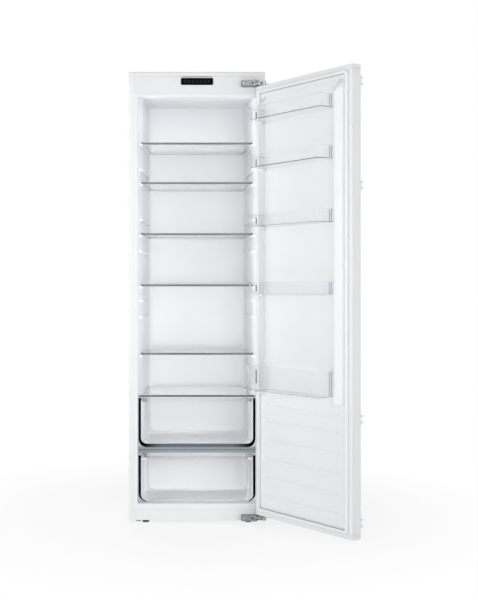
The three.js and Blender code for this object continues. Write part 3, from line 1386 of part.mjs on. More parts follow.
// A tongue in the housing's slot, which ends in a fork of two plates and a tall eye.
function makeLink(end) {
  const length = LINK_PIVOT.distanceTo(DOOR_PIVOT);
  const forkStart = HOUSING_NOSE + LINK_FORK_GAP;
  const outline = linkOutline(LINK_PIVOT, DOOR_PIVOT, LINK_EYE_RADIUS, LINK_WAIST);
  const tongue = layer(outline, end, linkBottom, linkTop);
  const fork = layer(
    linkStretch(LINK_PIVOT, DOOR_PIVOT, forkStart, length, LINK_WAIST), end, forkBottom, forkTop,
  );
  const eye = layerPost(LINK_EYE_RADIUS, end, forkBottom, forkTop, DOOR_PIVOT);
  const forkGap = linkStretch(
    LINK_PIVOT, DOOR_PIVOT, forkStart + LINK_FORK_WEB, length - LINK_EYE_RADIUS, LINK_EYE_RADIUS,
  );
  const opening = layer(forkGap, end, forkBottom + LINK_FORK_PLATE, forkTop - LINK_FORK_PLATE);
  const bores = [LINK_PIVOT, DOOR_PIVOT].map((pivot) =>
    layerPost(PIN_RADIUS + GAP, end, forkBottom - OVERRUN, forkTop + OVERRUN, pivot),
  );
  return cut(join(tongue, fork, eye), opening, ...bores);
}

function makeDoorPlate(end) {
  const tail = new THREE.Vector2(DOOR_PIVOT.x - PLATE_LENGTH, DOOR_INNER_Y - DOOR_THICKNESS / 2);
  const half = PLATE_WIDTH / 2;
  const eye = layerPost(PLATE_EYE_RADIUS, end, GAP, GAP + PLATE_SHEET, DOOR_PIVOT);
  const pad = roundedRectangle(
    tail.x, DOOR_PIVOT.x, tail.y - half, tail.y + half, PLATE_CORNER_RADIUS,
  );
  const body = join(layer(pad, end, GAP, GAP + PLATE_SHEET), eye);
  const holes = PLATE_HOLE_SHARES.map((share) => share * PLATE_LENGTH).map((offset) =>
    layerPost(PLATE_HOLE_RADIUS, end, -OVERRUN, OVERRUN, new THREE.Vector2(tail.x + offset, tail.y)),
  );
  const seat = layerPost(PIN_SPIGOT_RADIUS + GAP, end, -OVERRUN, OVERRUN, DOOR_PIVOT);
  return cut(body, seat, ...holes);
}

function makeDoorPin(end) {
  const plateTop = GAP + PLATE_SHEET;
  const collarTop = forkBottom - GAP;
  const headFrom = forkTop + GAP;
  return join(
    layerPost(PIN_SPIGOT_RADIUS, end, GAP * 2, plateTop + GAP * 2, DOOR_PIVOT),
    layerPost(PIN_HEAD_RADIUS, end, plateTop + GAP, collarTop, DOOR_PIVOT),
    layerPost(PIN_RADIUS, end, collarTop - GAP, headFrom + GAP, DOOR_PIVOT),
    layerPost(PIN_HEAD_RADIUS - GAP, end, headFrom, headFrom + PIN_HEAD_HEIGHT, DOOR_PIVOT),
  );
}

// A bracket on the door's outer face: a plate and two hollow lugs at the free edge.
function makeBracket(level) {
  const y1 = DOOR_OUTER_Y - GAP;
  const y0 = y1 - BRACKET_SHEET;
  const edge = -DOOR_SIDE;
  const plate = prismY(
    roundedRectangle(
      edge, edge + BRACKET_PLATE_WIDTH, level - BRACKET_PLATE_HEIGHT / 2,
      level + BRACKET_PLATE_HEIGHT / 2, BRACKET_LUG_RADIUS,
    ),
    y0, y1,
  );
  const lugs = [1, -1].map((side) => {
    const x = edge + BRACKET_LUG_RADIUS;
    const z = level + (side * BRACKET_LUG_SPACING) / 2;
    const lug = post(BRACKET_LUG_RADIUS, -BRACKET_LUG_REACH, BRACKET_SHEET / 2);
    const bore = post(BRACKET_LUG_RADIUS - BRACKET_LUG_WALL, -BRACKET_LUG_REACH - OVERRUN, 0);
    return cut(lug, bore).rotateX(-Math.PI / 2).translate(x, y0, z);
  });
  return join(plate, ...lugs);
}

// The cabinet
addPiece(refrigerator, "outer_case", makeOuterCase(), WHITE_ENAMEL);
addPiece(refrigerator, "top_rail", makeTopRail(), WHITE_PLASTIC);
addPiece(refrigerator, "control_fascia", makeFascia(), WHITE_PLASTIC);
addPiece(refrigerator, "display_panel", makeDisplay(), DISPLAY_BLACK);
addPiece(refrigerator, "inner_liner", makeLiner(), LINER_WHITE);
addPiece(refrigerator, "insulation_foam", makeFoam(), FOAM);
addPiece(refrigerator, "interior_light", makeLight(), LIGHT_LENS);
addPiece(refrigerator, "back_panel", makeBackPanel(), WHITE_ENAMEL);
addPiece(refrigerator, "base_rail", makeBaseRail(), WHITE_ENAMEL);
addPiece(refrigerator, "base_plate", makeBasePlate(), ZINC);
addPiece(refrigerator, "compressor", makeCompressor(), COMPRESSOR_BLACK);
addPiece(refrigerator, "evaporation_tray", makeTray(), GREY_PLASTIC);
addPiece(refrigerator, "mains_inlet", makeInlet(), GREY_PLASTIC);
addPiece(refrigerator, "condenser_coil", makeCondenser(), COIL_BLACK);

SHELF_NAMES.forEach((name, index) => {
  const front = FRONT + SHELF_SETBACK;
  addPiece(refrigerator, name + "_frame", makeShelfFrame(front, shelfLevels[index]), SHELF_TRIM);
  addPiece(refrigerator, name + "_glass", makeShelfGlass(front, shelfLevels[index]), SHELF_GLASS);
});

const crisperFront = FRONT + CRISPER_SETBACK;
addPiece(refrigerator, "crisper_cover_frame", makeShelfFrame(crisperFront, crisperCoverLevel), SHELF_TRIM);
addPiece(refrigerator, "crisper_cover_glass", makeShelfGlass(crisperFront, crisperCoverLevel), SHELF_GLASS);
addPiece(refrigerator, "drawer_divider", makeDivider(), WHITE_PLASTIC);

for (const drawer of drawers) {
  addPiece(refrigerator, drawer.name, makeDrawer(drawer), CLEAR_PLASTIC);
  addPiece(refrigerator, drawer.sealName, makeSeal(drawer), DARK_SEAL);
}

for (const [name, side] of [["right", 1], ["left", -1]]) {
  const footX = side * (SIDE - FOOT_INSET_X);
  const foot = makeFoot().translate(footX, FRONT + FOOT_SETBACK, 0);
  addPiece(refrigerator, "front_foot_" + name, foot, GREY_PLASTIC);
  const rollerX = side * (SIDE - ROLLER_INSET_X);
  const roller = makeRoller().translate(rollerX, rollerY, rollerZ);
  addPiece(refrigerator, "rear_roller_" + name, roller, GREY_PLASTIC);
}

// The hinges and the door, turned open about their two pivots
const linkGroup = turnedAbout(refrigerator, LINK_PIVOT, LINK_TURN_DEGREES);
const doorGroup = turnedAbout(linkGroup, DOOR_PIVOT, DOOR_TURN_DEGREES);

for (const end of DOOR_ENDS) {
  addPiece(refrigerator, end.name + "_hinge_housing", makeHingeHousing(end), HINGE_STEEL);
  addPiece(refrigerator, end.name + "_cabinet_pin", makeCabinetPin(end), ZINC);
  addPiece(linkGroup, end.name + "_hinge_link", makeLink(end), HINGE_STEEL);
  addPiece(doorGroup, end.name + "_door_plate", makeDoorPlate(end), HINGE_STEEL);
  addPiece(doorGroup, end.name + "_door_pin", makeDoorPin(end), ZINC);
}

addPiece(doorGroup, "door_outer_panel", makeDoorPanel(), WHITE_ENAMEL);
addPiece(doorGroup, "door_inner_liner", makeDoorLiner(), LINER_WHITE);
addPiece(doorGroup, "door_foam", makeDoorFoam(), FOAM);
addPiece(doorGroup, "door_gasket", makeGasket(), SOFT_SEAL);
const topCap = makeDoorCap(DOOR_TOP - DOOR_CAP_HEIGHT, DOOR_TOP);
const bottomCap = makeDoorCap(DOOR_BOTTOM, DOOR_BOTTOM + DOOR_CAP_HEIGHT);
addPiece(doorGroup, "door_top_cap", topCap, WHITE_PLASTIC);
addPiece(doorGroup, "door_bottom_cap", bottomCap, WHITE_PLASTIC);

BIN_NAMES.forEach((name, index) => {
  const last = index === BIN_NAMES.length - 1;
  const height = last ? BOTTLE_BIN_HEIGHT : BIN_HEIGHT;
  const depth = last ? BOTTLE_BIN_DEPTH : BIN_DEPTH;
  addPiece(doorGroup, name, makeBin(binLevels[index], height, depth), CLEAR_PLASTIC);
});

BRACKET_NAMES.forEach((name, index) => {
  const level = DOOR_BOTTOM + BRACKET_RISE_SHARES[index] * DOOR_HEIGHT;
  addPiece(doorGroup, name, makeBracket(level), WHITE_PLASTIC);
});

export default refrigerator;
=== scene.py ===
"""Built-in larder refrigerator with its door open, dressed and lit for a plain studio picture.

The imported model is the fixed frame. Each sub-assembly is a class that refines its pieces and gives them their
finishes. Lengths are metres, +Z is up, +Y points to the back, and the origin is the centre of the cabinet's
base.
"""

import json
import logging
import math
from dataclasses import dataclass, field, replace
from enum import Enum
from typing import Callable, Sequence

import bpy
from mathutils import Matrix, Vector


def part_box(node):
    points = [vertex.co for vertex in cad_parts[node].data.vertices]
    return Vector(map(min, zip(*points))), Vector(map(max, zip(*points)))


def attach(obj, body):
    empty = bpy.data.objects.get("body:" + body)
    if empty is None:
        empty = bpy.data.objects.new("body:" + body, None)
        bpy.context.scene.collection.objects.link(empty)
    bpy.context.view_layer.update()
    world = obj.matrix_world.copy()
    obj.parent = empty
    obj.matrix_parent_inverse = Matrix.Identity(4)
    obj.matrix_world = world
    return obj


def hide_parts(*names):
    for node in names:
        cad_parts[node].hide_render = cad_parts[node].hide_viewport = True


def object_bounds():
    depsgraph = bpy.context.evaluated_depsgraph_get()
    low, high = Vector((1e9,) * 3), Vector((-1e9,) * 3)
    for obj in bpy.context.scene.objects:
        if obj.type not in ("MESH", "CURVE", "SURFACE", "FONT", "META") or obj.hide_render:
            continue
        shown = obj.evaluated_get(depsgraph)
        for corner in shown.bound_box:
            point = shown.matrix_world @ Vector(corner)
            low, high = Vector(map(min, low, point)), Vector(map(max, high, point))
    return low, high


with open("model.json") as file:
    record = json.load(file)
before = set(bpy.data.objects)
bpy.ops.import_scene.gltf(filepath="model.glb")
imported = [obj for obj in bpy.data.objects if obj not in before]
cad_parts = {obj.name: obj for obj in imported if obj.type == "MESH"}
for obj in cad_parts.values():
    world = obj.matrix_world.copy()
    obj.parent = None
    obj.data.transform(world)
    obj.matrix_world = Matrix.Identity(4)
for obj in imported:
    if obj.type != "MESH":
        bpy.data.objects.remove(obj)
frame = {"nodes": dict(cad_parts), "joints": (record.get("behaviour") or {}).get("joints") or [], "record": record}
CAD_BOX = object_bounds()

logging.basicConfig(level=logging.INFO, format="%(name)s: %(message)s")
log = logging.getLogger("refrigerator")

MM = 0.001
Colour = tuple[float, float, float]
Place = tuple[float, float, float]
Span = tuple[float, float]
Socket = bpy.types.NodeSocket


class Ends(Enum):
    """The two ends of the door that carry a hinge."""

    UPPER = "upper"
    LOWER = "lower"


class Edge(Enum):
    """How far an edge is rounded, in metres."""

    SHEET = 0.35 * MM
    CRISP = 0.6 * MM
    SOFT = 1.2 * MM


class Workbench:
    """Modelling by Blender's operators, as by hand."""

    MERGE = 0.01 * MM
    FLAT_ANGLE = math.radians(0.4)
    EDGE_ANGLE = math.radians(32)
    SMOOTH_ANGLE = math.radians(38)
    BEVEL_STEPS = 3
    ALONG_AXIS = 0.9
    RING_SIDES = 24
    PIPE_ORDER = 3
    PIPE_STEPS = 8
    PIPE_ROUNDNESS = 4

    @staticmethod
    def clear() -> None:
        """Leave edit mode and deselect everything."""
        active = bpy.context.view_layer.objects.active
        if active is not None and active.mode != "OBJECT":
            bpy.ops.object.mode_set(mode="OBJECT")
        bpy.ops.object.select_all(action="DESELECT")

    @classmethod
    def take(cls, obj: bpy.types.Object) -> None:
        """Make one object the selected and active one.

        Args:
            obj: The object to work on.
        """
        cls.clear()
        obj.select_set(True)
        bpy.context.view_layer.objects.active = obj

    @staticmethod
    def added(name: str, data: bpy.types.ID) -> bpy.types.Object:
        """Put a new object into the scene.

        Args:
            name: Name of the new object.
            data: What it shows: a mesh, a curve, a lamp or a camera.

        Returns:
            The new object.
        """
        obj = bpy.data.objects.new(name, data)
        bpy.context.scene.collection.objects.link(obj)
        return obj

    @classmethod
    def copy_node(cls, node: str) -> bpy.types.Object:
        """Copy a node's mesh into a new object, with its loose triangles merged into whole faces.

        Args:
            node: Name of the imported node.

        Returns:
            The new object.
        """
        mesh = frame["nodes"][node].data.copy()
        mesh.materials.clear()
        obj = cls.added(f"{node}_form", mesh)
        cls.take(obj)
        bpy.ops.object.mode_set(mode="EDIT")
        bpy.ops.mesh.select_all(action="SELECT")
        bpy.ops.mesh.remove_doubles(threshold=cls.MERGE)
        bpy.ops.mesh.tris_convert_to_quads(face_threshold=cls.FLAT_ANGLE, shape_threshold=math.pi)
        bpy.ops.object.mode_set(mode="OBJECT")
        return obj

    @classmethod
    def apply(cls, obj: bpy.types.Object, kind: str, **settings: object) -> None:
        """Add one modifier and apply it.

        Args:
            obj: The object to modify.
            kind: Blender's name of the modifier type.
            settings: Values of the modifier.
        """
        cls.take(obj)
        modifier = obj.modifiers.new(kind.title(), kind)
        for name, value in settings.items():
            setattr(modifier, name, value)
        bpy.ops.object.modifier_apply(modifier=modifier.name)

    @classmethod
    def round_edges(cls, obj: bpy.types.Object, edge: Edge) -> None:
        """Round every edge that is sharper than the edge angle.

        Args:
            obj: The object to round.
            edge: How far the edges are rounded.
        """
        cls.apply(obj, "BEVEL", width=edge.value, segments=cls.BEVEL_STEPS, limit_method="ANGLE",
                  angle_limit=cls.EDGE_ANGLE, use_clamp_overlap=False, miter_outer="MITER_ARC")

    @classmethod
    def smooth(cls, obj: bpy.types.Object) -> None:
        """Shade curved faces smooth and keep flat faces flat.

        Args:
            obj: The object to shade.
        """
        cls.take(obj)
        bpy.ops.object.shade_smooth_by_angle(angle=cls.SMOOTH_ANGLE)
        cls.apply(obj, "WEIGHTED_NORMAL", keep_sharp=True)

    @classmethod
    def block(cls, name: str, low: Place, high: Place) -> bpy.types.Object:
        """Add a block between two corners, as the start of a piece.

        Args:
            name: Name of the new object.
            low: Lowest corner.
            high: Highest corner.

        Returns:
            The new object.
        """
        cls.clear()
        middle = [(a + b) / 2 for a, b in zip(low, high)]
        bpy.ops.mesh.primitive_cube_add(size=1, location=middle, scale=[b - a for a, b in zip(low, high)])
        return cls.named(name)

    @classmethod
    def soft_block(cls, name: str, low: Place, high: Place, edge: float) -> bpy.types.Object:
        """Add a block with rounded edges.

        Args:
            name: Name of the new object.
            low: Lowest corner.
            high: Highest corner.
            edge: Radius of its edges.

        Returns:
            The new object.
        """
        obj = cls.block(name, low, high)
        cls.apply(obj, "BEVEL", width=edge, segments=cls.BEVEL_STEPS, limit_method="NONE",
                  use_clamp_overlap=True)
        return obj

    @classmethod
    def disc(cls, name: str, centre: Place, radius: float, height: float, sides: int,
             turn: Place = (0.0, 0.0, 0.0)) -> bpy.types.Object:
        """Add a round bar, as the start of a turned piece.

        Args:
            name: Name of the new object.
            centre: Centre of the bar.
            radius: Radius of the bar.
            height: Length along its axis.
            sides: Number of faces round it.
            turn: Rotation of its axis away from Z, as Euler angles.

        Returns:
            The new object.
        """
        cls.clear()
        bpy.ops.mesh.primitive_cylinder_add(vertices=sides, radius=radius, depth=height, location=centre,
                                            rotation=turn)
        return cls.named(name)

    @classmethod
    def ring(cls, name: str, centre: Place, radius: float, height: float, wall: float) -> bpy.types.Object:
        """Add a ring whose axis runs along Y.

        Args:
            name: Name of the new object.
            centre: Centre of the ring.
            radius: Outer radius.
            height: Length along its axis.
            wall: Thickness between its outside and its bore.

        Returns:
            The new object.
        """
        obj = cls.disc(name, centre, radius, height, cls.RING_SIDES, (math.pi / 2, 0.0, 0.0))
        cls.pick_faces(obj, lambda centre, normal: abs(normal.y) > cls.ALONG_AXIS)
        bpy.ops.mesh.inset(thickness=wall)
        bpy.ops.mesh.bridge_edge_loops()
        cls.done()
        return obj

    @staticmethod
    def named(name: str) -> bpy.types.Object:
        """Name the new primitive and put its place into its mesh.

        Args:
            name: Its name.

        Returns:
            The object.
        """
        obj = bpy.context.view_layer.objects.active
        obj.name = name
        bpy.ops.object.transform_apply(location=True, rotation=True, scale=True)
        return obj

    @classmethod
    def pick_faces(cls, obj: bpy.types.Object, test: Callable[[Vector, Vector], bool]) -> None:
        """Enter edit mode with only the faces selected that pass a test.

        Args:
            obj: The object to edit.
            test: Takes a face's centre and normal and says whether it is picked.
        """
        cls.take(obj)
        bpy.ops.object.mode_set(mode="EDIT")
        bpy.ops.mesh.select_mode(type="FACE")
        bpy.ops.mesh.select_all(action="DESELECT")
        bpy.ops.object.mode_set(mode="OBJECT")
        for face in obj.data.polygons:
            face.select = test(face.center, face.normal)
        bpy.ops.object.mode_set(mode="EDIT")

    @staticmethod
    def done() -> None:
        """Leave edit mode."""
        bpy.ops.object.mode_set(mode="OBJECT")

    @classmethod
    def stamp(cls, pattern: bpy.types.Object, places: Sequence[Matrix]) -> list[bpy.types.Object]:
        """Copy a form to several places, each copy with its own mesh, and remove the form.

        Args:
            pattern: The form, modelled at the origin.
            places: Where the copies go.

        Returns:
            The copies.
        """
        copies = []
        for place in places:
            mesh = pattern.data.copy()
            mesh.transform(place)
            copies.append(cls.added(pattern.name, mesh))
        bpy.data.objects.remove(pattern)
        return copies

    @classmethod
    def pipe(cls, name: str, points: Sequence[Place], radius: float) -> bpy.types.Object:
        """Bend a round tube through a route with rounded corners.

        Args:
            name: Name of the new object.
            points: Corners of the route.
            radius: Radius of the tube.

        Returns:
            The new object.
        """
        curve = bpy.data.curves.new(name, "CURVE")
        curve.dimensions = "3D"
        spline = curve.splines.new("NURBS")
        spline.points.add(len(points) - 1)
        for point, place in zip(spline.points, points):
            point.co = (*place, 1.0)
        spline.order_u = cls.PIPE_ORDER
        spline.resolution_u = cls.PIPE_STEPS
        spline.use_endpoint_u = True
        curve.bevel_depth = radius
        curve.bevel_resolution = cls.PIPE_ROUNDNESS
        curve.use_fill_caps = True
        cls.take(cls.added(name, curve))
        bpy.ops.object.convert(target="MESH")
        obj = bpy.context.view_layer.objects.active
        bpy.ops.object.mode_set(mode="EDIT")
        bpy.ops.mesh.select_all(action="SELECT")
        bpy.ops.mesh.remove_doubles(threshold=cls.MERGE)
        bpy.ops.mesh.normals_make_consistent(inside=False)
        bpy.ops.object.mode_set(mode="OBJECT")
        return obj

    @classmethod
    def join(cls, name: str, pieces: Sequence[bpy.types.Object]) -> bpy.types.Object:
        """Join several objects into one.

        Args:
            name: Name of the joined object.
            pieces: The objects, of which the first is kept.

        Returns:
            The joined object.
        """
        cls.take(pieces[0])
        for piece in pieces[1:]:
            piece.select_set(True)
        bpy.ops.object.join()
        pieces[0].name = name
        return pieces[0]


@dataclass(frozen=True)
class ScrewHead:
    """A domed head with a cross recess. The shares are of its radius, and the slot's levels of its height."""

    radius: float
    sides: int = 28
    height_share: float = 0.55
    dome_share: float = 0.38
    dome_steps: int = 4
    dome_profile: float = 0.55
    slot_reach_share: float = 0.55
    slot_half_share: float = 0.11
    slot_floor_share: float = 0.45
    slot_top_share: float = 1.5

    def model(self) -> bpy.types.Object:
        """Model the head, seated at the origin and facing +Z.

        Returns:
            The new object.
        """
        height = self.radius * self.height_share
        obj = Workbench.disc("screw_head", (0.0, 0.0, height / 2), self.radius, height, self.sides)
        Workbench.pick_faces(obj, lambda centre, normal: normal.z > Workbench.ALONG_AXIS)
        bpy.ops.mesh.bevel(offset=self.radius * self.dome_share, segments=self.dome_steps, affect="EDGES",
                           profile=self.dome_profile)
        Workbench.done()
        for cutter in [self._slot(height, turn) for turn in (0.0, math.pi / 2)]:
            Workbench.apply(obj, "BOOLEAN", operation="DIFFERENCE", object=cutter, solver="EXACT")
            bpy.data.objects.remove(cutter)
        return obj

    def _slot(self, height: float, turn: float) -> bpy.types.Object:
        """Model the cutter for one slot of the cross.

        Args:
            height: Height of the head.
            turn: The slot's angle about Z.

        Returns:
            The cutter.
        """
        reach = self.radius * self.slot_reach_share
        half = self.radius * self.slot_half_share
        cutter = Workbench.block("cross_slot", (-reach, -half, height * self.slot_floor_share),
                                 (reach, half, height * self.slot_top_share))
        Workbench.take(cutter)
        bpy.ops.transform.rotate(value=turn, orient_axis="Z", center_override=(0.0, 0.0, 0.0))
        bpy.ops.object.transform_apply(location=True, rotation=True, scale=True)
        return cutter


@dataclass(frozen=True)
class HexBolt:
    """A hexagon head on its washer. The shares are of the radius across the head's corners."""

    radius: float
    corners: int = 6
    height_share: float = 0.84
    crown_share: float = 0.1
    washer_sides: int = 32
    washer_radius_share: float = 1.6
    washer_height_share: float = 0.2
    washer_edge_share: float = 0.06
    washer_edge_steps: int = 2

    def model(self) -> bpy.types.Object:
        """Model the bolt, seated at the origin and facing +Z.

        Returns:
            The new object.
        """
        washer_radius = self.radius * self.washer_radius_share
        washer_height = self.radius * self.washer_height_share
        height = self.radius * self.height_share
        crown = self.radius * self.crown_share
        washer = Workbench.disc("washer", (0.0, 0.0, washer_height / 2), washer_radius, washer_height,
                                self.washer_sides)
        Workbench.apply(washer, "BEVEL", width=self.radius * self.washer_edge_share,
                        segments=self.washer_edge_steps, limit_method="ANGLE")
        head = Workbench.disc("hex_head", (0.0, 0.0, washer_height + height / 2), self.radius, height,
                              self.corners)
        Workbench.pick_faces(head, lambda centre, normal: normal.z > Workbench.ALONG_AXIS)
        bpy.ops.mesh.inset(thickness=crown)
        bpy.ops.transform.translate(value=(0.0, 0.0, crown))
        Workbench.done()
        return Workbench.join("hex_bolt", [washer, head])


class Nodes:
    """Building with the nodes of one material or of the world."""

    def __init__(self, tree: bpy.types.NodeTree) -> None:
        """Keep the node tree."""
        self.tree = tree

    def add(self, kind: str) -> bpy.types.Node:
        """Add a shader node of one kind."""
        return self.tree.nodes.new(f"ShaderNode{kind}")

    def link(self, output: Socket, socket: Socket) -> None:
        """Link an output to an input."""
        self.tree.links.new(output, socket)

    def calculate(self, operation: str, *values: Socket | float) -> Socket:
        """Add a calculation.

        Args:
            operation: Blender's name of the operation.
            values: What goes into it, as outputs or numbers.

        Returns:
            The result.
        """
        node = self.add("Math")
        node.operation = operation
        for socket, value in zip(node.inputs, values):
            if isinstance(value, float):
                socket.default_value = value
            else:
                self.link(value, socket)
        return node.outputs["Value"]

    def remap(self, value: Socket, source: Span, target: Span = (0.0, 1.0), curve: str = "LINEAR") -> Socket:
        """Map one range of values to another and hold it at the ends.

        Args:
            value: What is mapped.
            source: Range that it comes from.
            target: Range that it goes to.
            curve: Blender's name of the interpolation.

        Returns:
            The mapped value.
        """
        node = self.add("MapRange")
        node.interpolation_type = curve
        for name, limit in zip(("From Min", "From Max", "To Min", "To Max"), (*source, *target)):
            node.inputs[name].default_value = limit
        self.link(value, node.inputs["Value"])
        return node.outputs["Result"]

    def mix_shaders(self, factor: Socket, first: Socket, second: Socket) -> Socket:
        """Mix two shaders.

        Args:
            factor: Share of the second shader.
            first: The first shader.
            second: The second shader.

        Returns:
            The mixed shader.
        """
        node = self.add("MixShader")
        for output, socket in zip((factor, first, second), node.inputs):
            self.link(output, socket)
        return node.outputs["Shader"]

    def show(self, shader: Socket, output: str = "Material Output") -> None:
        """Show a shader on the surface or as the world's background."""
        self.link(shader, self.tree.nodes[output].inputs["Surface"])


class SurfaceNodes(Nodes):
    """The nodes of one material."""

    NOISE_SPAN = (0.3, 0.7)
    MIX_COLOURS = (6, 7)
    MIX_RESULT = 2

    def __init__(self, name: str) -> None:
        """Start a material with its shader and its Object coordinates.

        Args:
            name: Name of the material.
        """
        self.material = bpy.data.materials.new(name)
        self.material.use_nodes = True
        super().__init__(self.material.node_tree)
        self.shader = self.tree.nodes["Principled BSDF"]
        self.place = self.add("TexCoord").outputs["Object"]

    def set(self, **values: float | tuple[float, ...]) -> None:
        """Set uniform values on the shader's own sockets, with words joined by underscores."""
        for name, value in values.items():
            self.shader.inputs[name.replace("_", " ")].default_value = value

    def feed(self, socket: str, output: Socket) -> None:
        """Link an output to one of the shader's sockets."""
        self.link(output, self.shader.inputs[socket])

    def stretched(self, scale: Place) -> Socket:
        """Scale the coordinates unevenly, for a grain that runs one way.

        Args:
            scale: Factors along X, Y and Z.

        Returns:
            The scaled coordinates.
        """
        mapping = self.add("Mapping")
        mapping.inputs["Scale"].default_value = scale
        self.link(self.place, mapping.inputs["Vector"])
        return mapping.outputs["Vector"]

    def noise(self, scale: float, detail: float, vector: Socket | None = None) -> Socket:
        """Add a noise pattern.

        Args:
            scale: Features for each metre.
            detail: Number of finer layers.
            vector: Coordinates, if not the Object ones.

        Returns:
            The pattern's value.
        """
        node = self.add("TexNoise")
        node.inputs["Scale"].default_value = scale
        node.inputs["Detail"].default_value = detail
        self.link(vector or self.place, node.inputs["Vector"])
        return node.outputs["Fac"]

    def spread(self, pattern: Socket, low: float, high: float) -> Socket:
        """Map a noise pattern to a range of values."""
        return self.remap(pattern, self.NOISE_SPAN, (low, high))

    def blend(self, factor: Socket, first: Colour, second: Colour) -> Socket:
        """Mix two colours by a pattern.

        Args:
            factor: The pattern, from 0 to 1.
            first: Colour at 0.
            second: Colour at 1.

        Returns:
            The mixed colour.
        """
        node = self.add("Mix")
        node.data_type = "RGBA"
        self.link(factor, node.inputs["Factor"])
        for index, colour in zip(self.MIX_COLOURS, (first, second)):
            node.inputs[index].default_value = (*colour, 1.0)
        return node.outputs[self.MIX_RESULT]

    def bump(self, height: Socket, depth: float, before: Socket | None = None) -> Socket:
        """Turn a pattern into relief.

        Args:
            height: The pattern.
            depth: Depth of the relief in metres.
            before: Relief below this one.

        Returns:
            The normal.
        """
        node = self.add("Bump")
        node.inputs["Strength"].default_value = 1.0
        node.inputs["Distance"].default_value = depth
        self.link(height, node.inputs["Height"])
        if before is not None:
            self.link(before, node.inputs["Normal"])
        return node.outputs["Normal"]


@dataclass(frozen=True)
class Finish:
    """A surface with a little mottling, uneven gloss and a fine and a broad relief."""

    name: str
    colour: Colour
    roughness: float
    slot: str = ""
    mottle: float = 0.02
    mottle_scale: float = 7.0
    mottle_detail: float = 4.0
    gloss_spread: float = 0.05
    gloss_scale: float = 60.0
    gloss_detail: float = 3.0
    gloss_limit: float = 0.02
    grain_scale: float = 900.0
    grain_depth: float = 0.01 * MM
    wave_scale: float = 9.0
    wave_depth: float = 0.0
    relief_detail: float = 1.0
    metallic: float = 0.0
    coat: float = 0.0
    transmission: float = 0.0
    ior: float = 1.5
    specular: float = 0.5
    alpha: float = 1.0

    def material(self) -> bpy.types.Material:
        """Make the material once, and give the same one afterwards.

        Returns:
            The material.
        """
        known = bpy.data.materials.get(self.name)
        if known is not None:
            return known
        nodes = SurfaceNodes(self.name)
        nodes.material.diffuse_color = (*self.colour, 1.0)
        self._fill(nodes)
        return nodes.material

    def _fill(self, nodes: SurfaceNodes) -> None:
        """Build the pattern, gloss and relief.

        Args:
            nodes: Nodes of the new material.
        """
        darker = tuple(c * (1 - self.mottle) for c in self.colour)
        lighter = tuple(min(1.0, c * (1 + self.mottle / 2)) for c in self.colour)
        mottling = nodes.spread(nodes.noise(self.mottle_scale, self.mottle_detail), 0.0, 1.0)
        nodes.feed("Base Color", nodes.blend(mottling, darker, lighter))
        gloss = nodes.noise(self.gloss_scale, self.gloss_detail)
        glossiest = max(self.gloss_limit, self.roughness - self.gloss_spread)
        nodes.feed("Roughness", nodes.spread(gloss, glossiest, self.roughness + self.gloss_spread))
        relief = nodes.bump(nodes.noise(self.grain_scale, self.relief_detail), self.grain_depth)
        if self.wave_depth:
            relief = nodes.bump(nodes.noise(self.wave_scale, self.relief_detail), self.wave_depth, relief)
        nodes.feed("Normal", relief)
        nodes.set(Metallic=self.metallic, Coat_Weight=self.coat, Transmission_Weight=self.transmission,
                  IOR=self.ior, Specular_IOR_Level=self.specular, Alpha=self.alpha)


@dataclass(frozen=True)
class ClearFinish(Finish):
    """Glass or clear plastic that lets the lamps' light through to what is behind it."""

    shade: float = 0.985

    def _fill(self, nodes: SurfaceNodes) -> None:
        """Build the surface, with a straight way through for shadow rays.

        Args:
            nodes: Nodes of the new material.
        """
        super()._fill(nodes)
        straight = nodes.add("BsdfTransparent")
        straight.inputs["Color"].default_value = (self.shade, self.shade, self.shade, 1.0)
        shadow = nodes.add("LightPath").outputs["Is Shadow Ray"]
        nodes.show(nodes.mix_shaders(shadow, nodes.shader.outputs["BSDF"], straight.outputs["BSDF"]))


@dataclass(frozen=True)
class BrushedMetal(Finish):
    """A metal with fine lines along X and darker handling marks."""

    line_scale: Place = (14.0, 900.0, 900.0)
    line_detail: float = 2.0
    mark_detail: float = 5.0

    def _fill(self, nodes: SurfaceNodes) -> None:
        """Build the lines and marks.

        Args:
            nodes: Nodes of the new material.
        """
        lines = nodes.noise(1.0, self.line_detail, nodes.stretched(self.line_scale))
        marks = nodes.spread(nodes.noise(self.mottle_scale, self.mark_detail), 0.0, 1.0)
        dull = tuple(c * (1 - self.mottle) for c in self.colour)
        nodes.feed("Base Color", nodes.blend(marks, dull, self.colour))
        nodes.feed("Roughness", nodes.spread(lines, self.roughness - self.gloss_spread,
                                             self.roughness + self.gloss_spread))
        nodes.feed("Normal", nodes.bump(lines, self.grain_depth))
        nodes.set(Metallic=self.metallic, Coat_Weight=self.coat)


@dataclass(frozen=True)
class EndShadedFinish(Finish):
    """A finish painted paler in the middle and darker towards both ends along X: a painted reflection fading into
    painted shade.
    """

    end_colour: Colour = (0.0, 0.0, 0.0)
    fade: Span = (0.0, 1.0)

    def _fill(self, nodes: SurfaceNodes) -> None:
        """Build the fade and the grain.

        Args:
            nodes: Nodes of the new material.
        """
        axes = nodes.add("SeparateXYZ")
        nodes.link(nodes.place, axes.inputs["Vector"])
        reach = nodes.remap(nodes.calculate("ABSOLUTE", axes.outputs["X"]), self.fade)
        nodes.feed("Base Color", nodes.blend(reach, self.colour, self.end_colour))
        nodes.feed("Normal", nodes.bump(nodes.noise(self.grain_scale, self.relief_detail), self.grain_depth))
        nodes.set(Roughness=self.roughness, Specular_IOR_Level=self.specular)


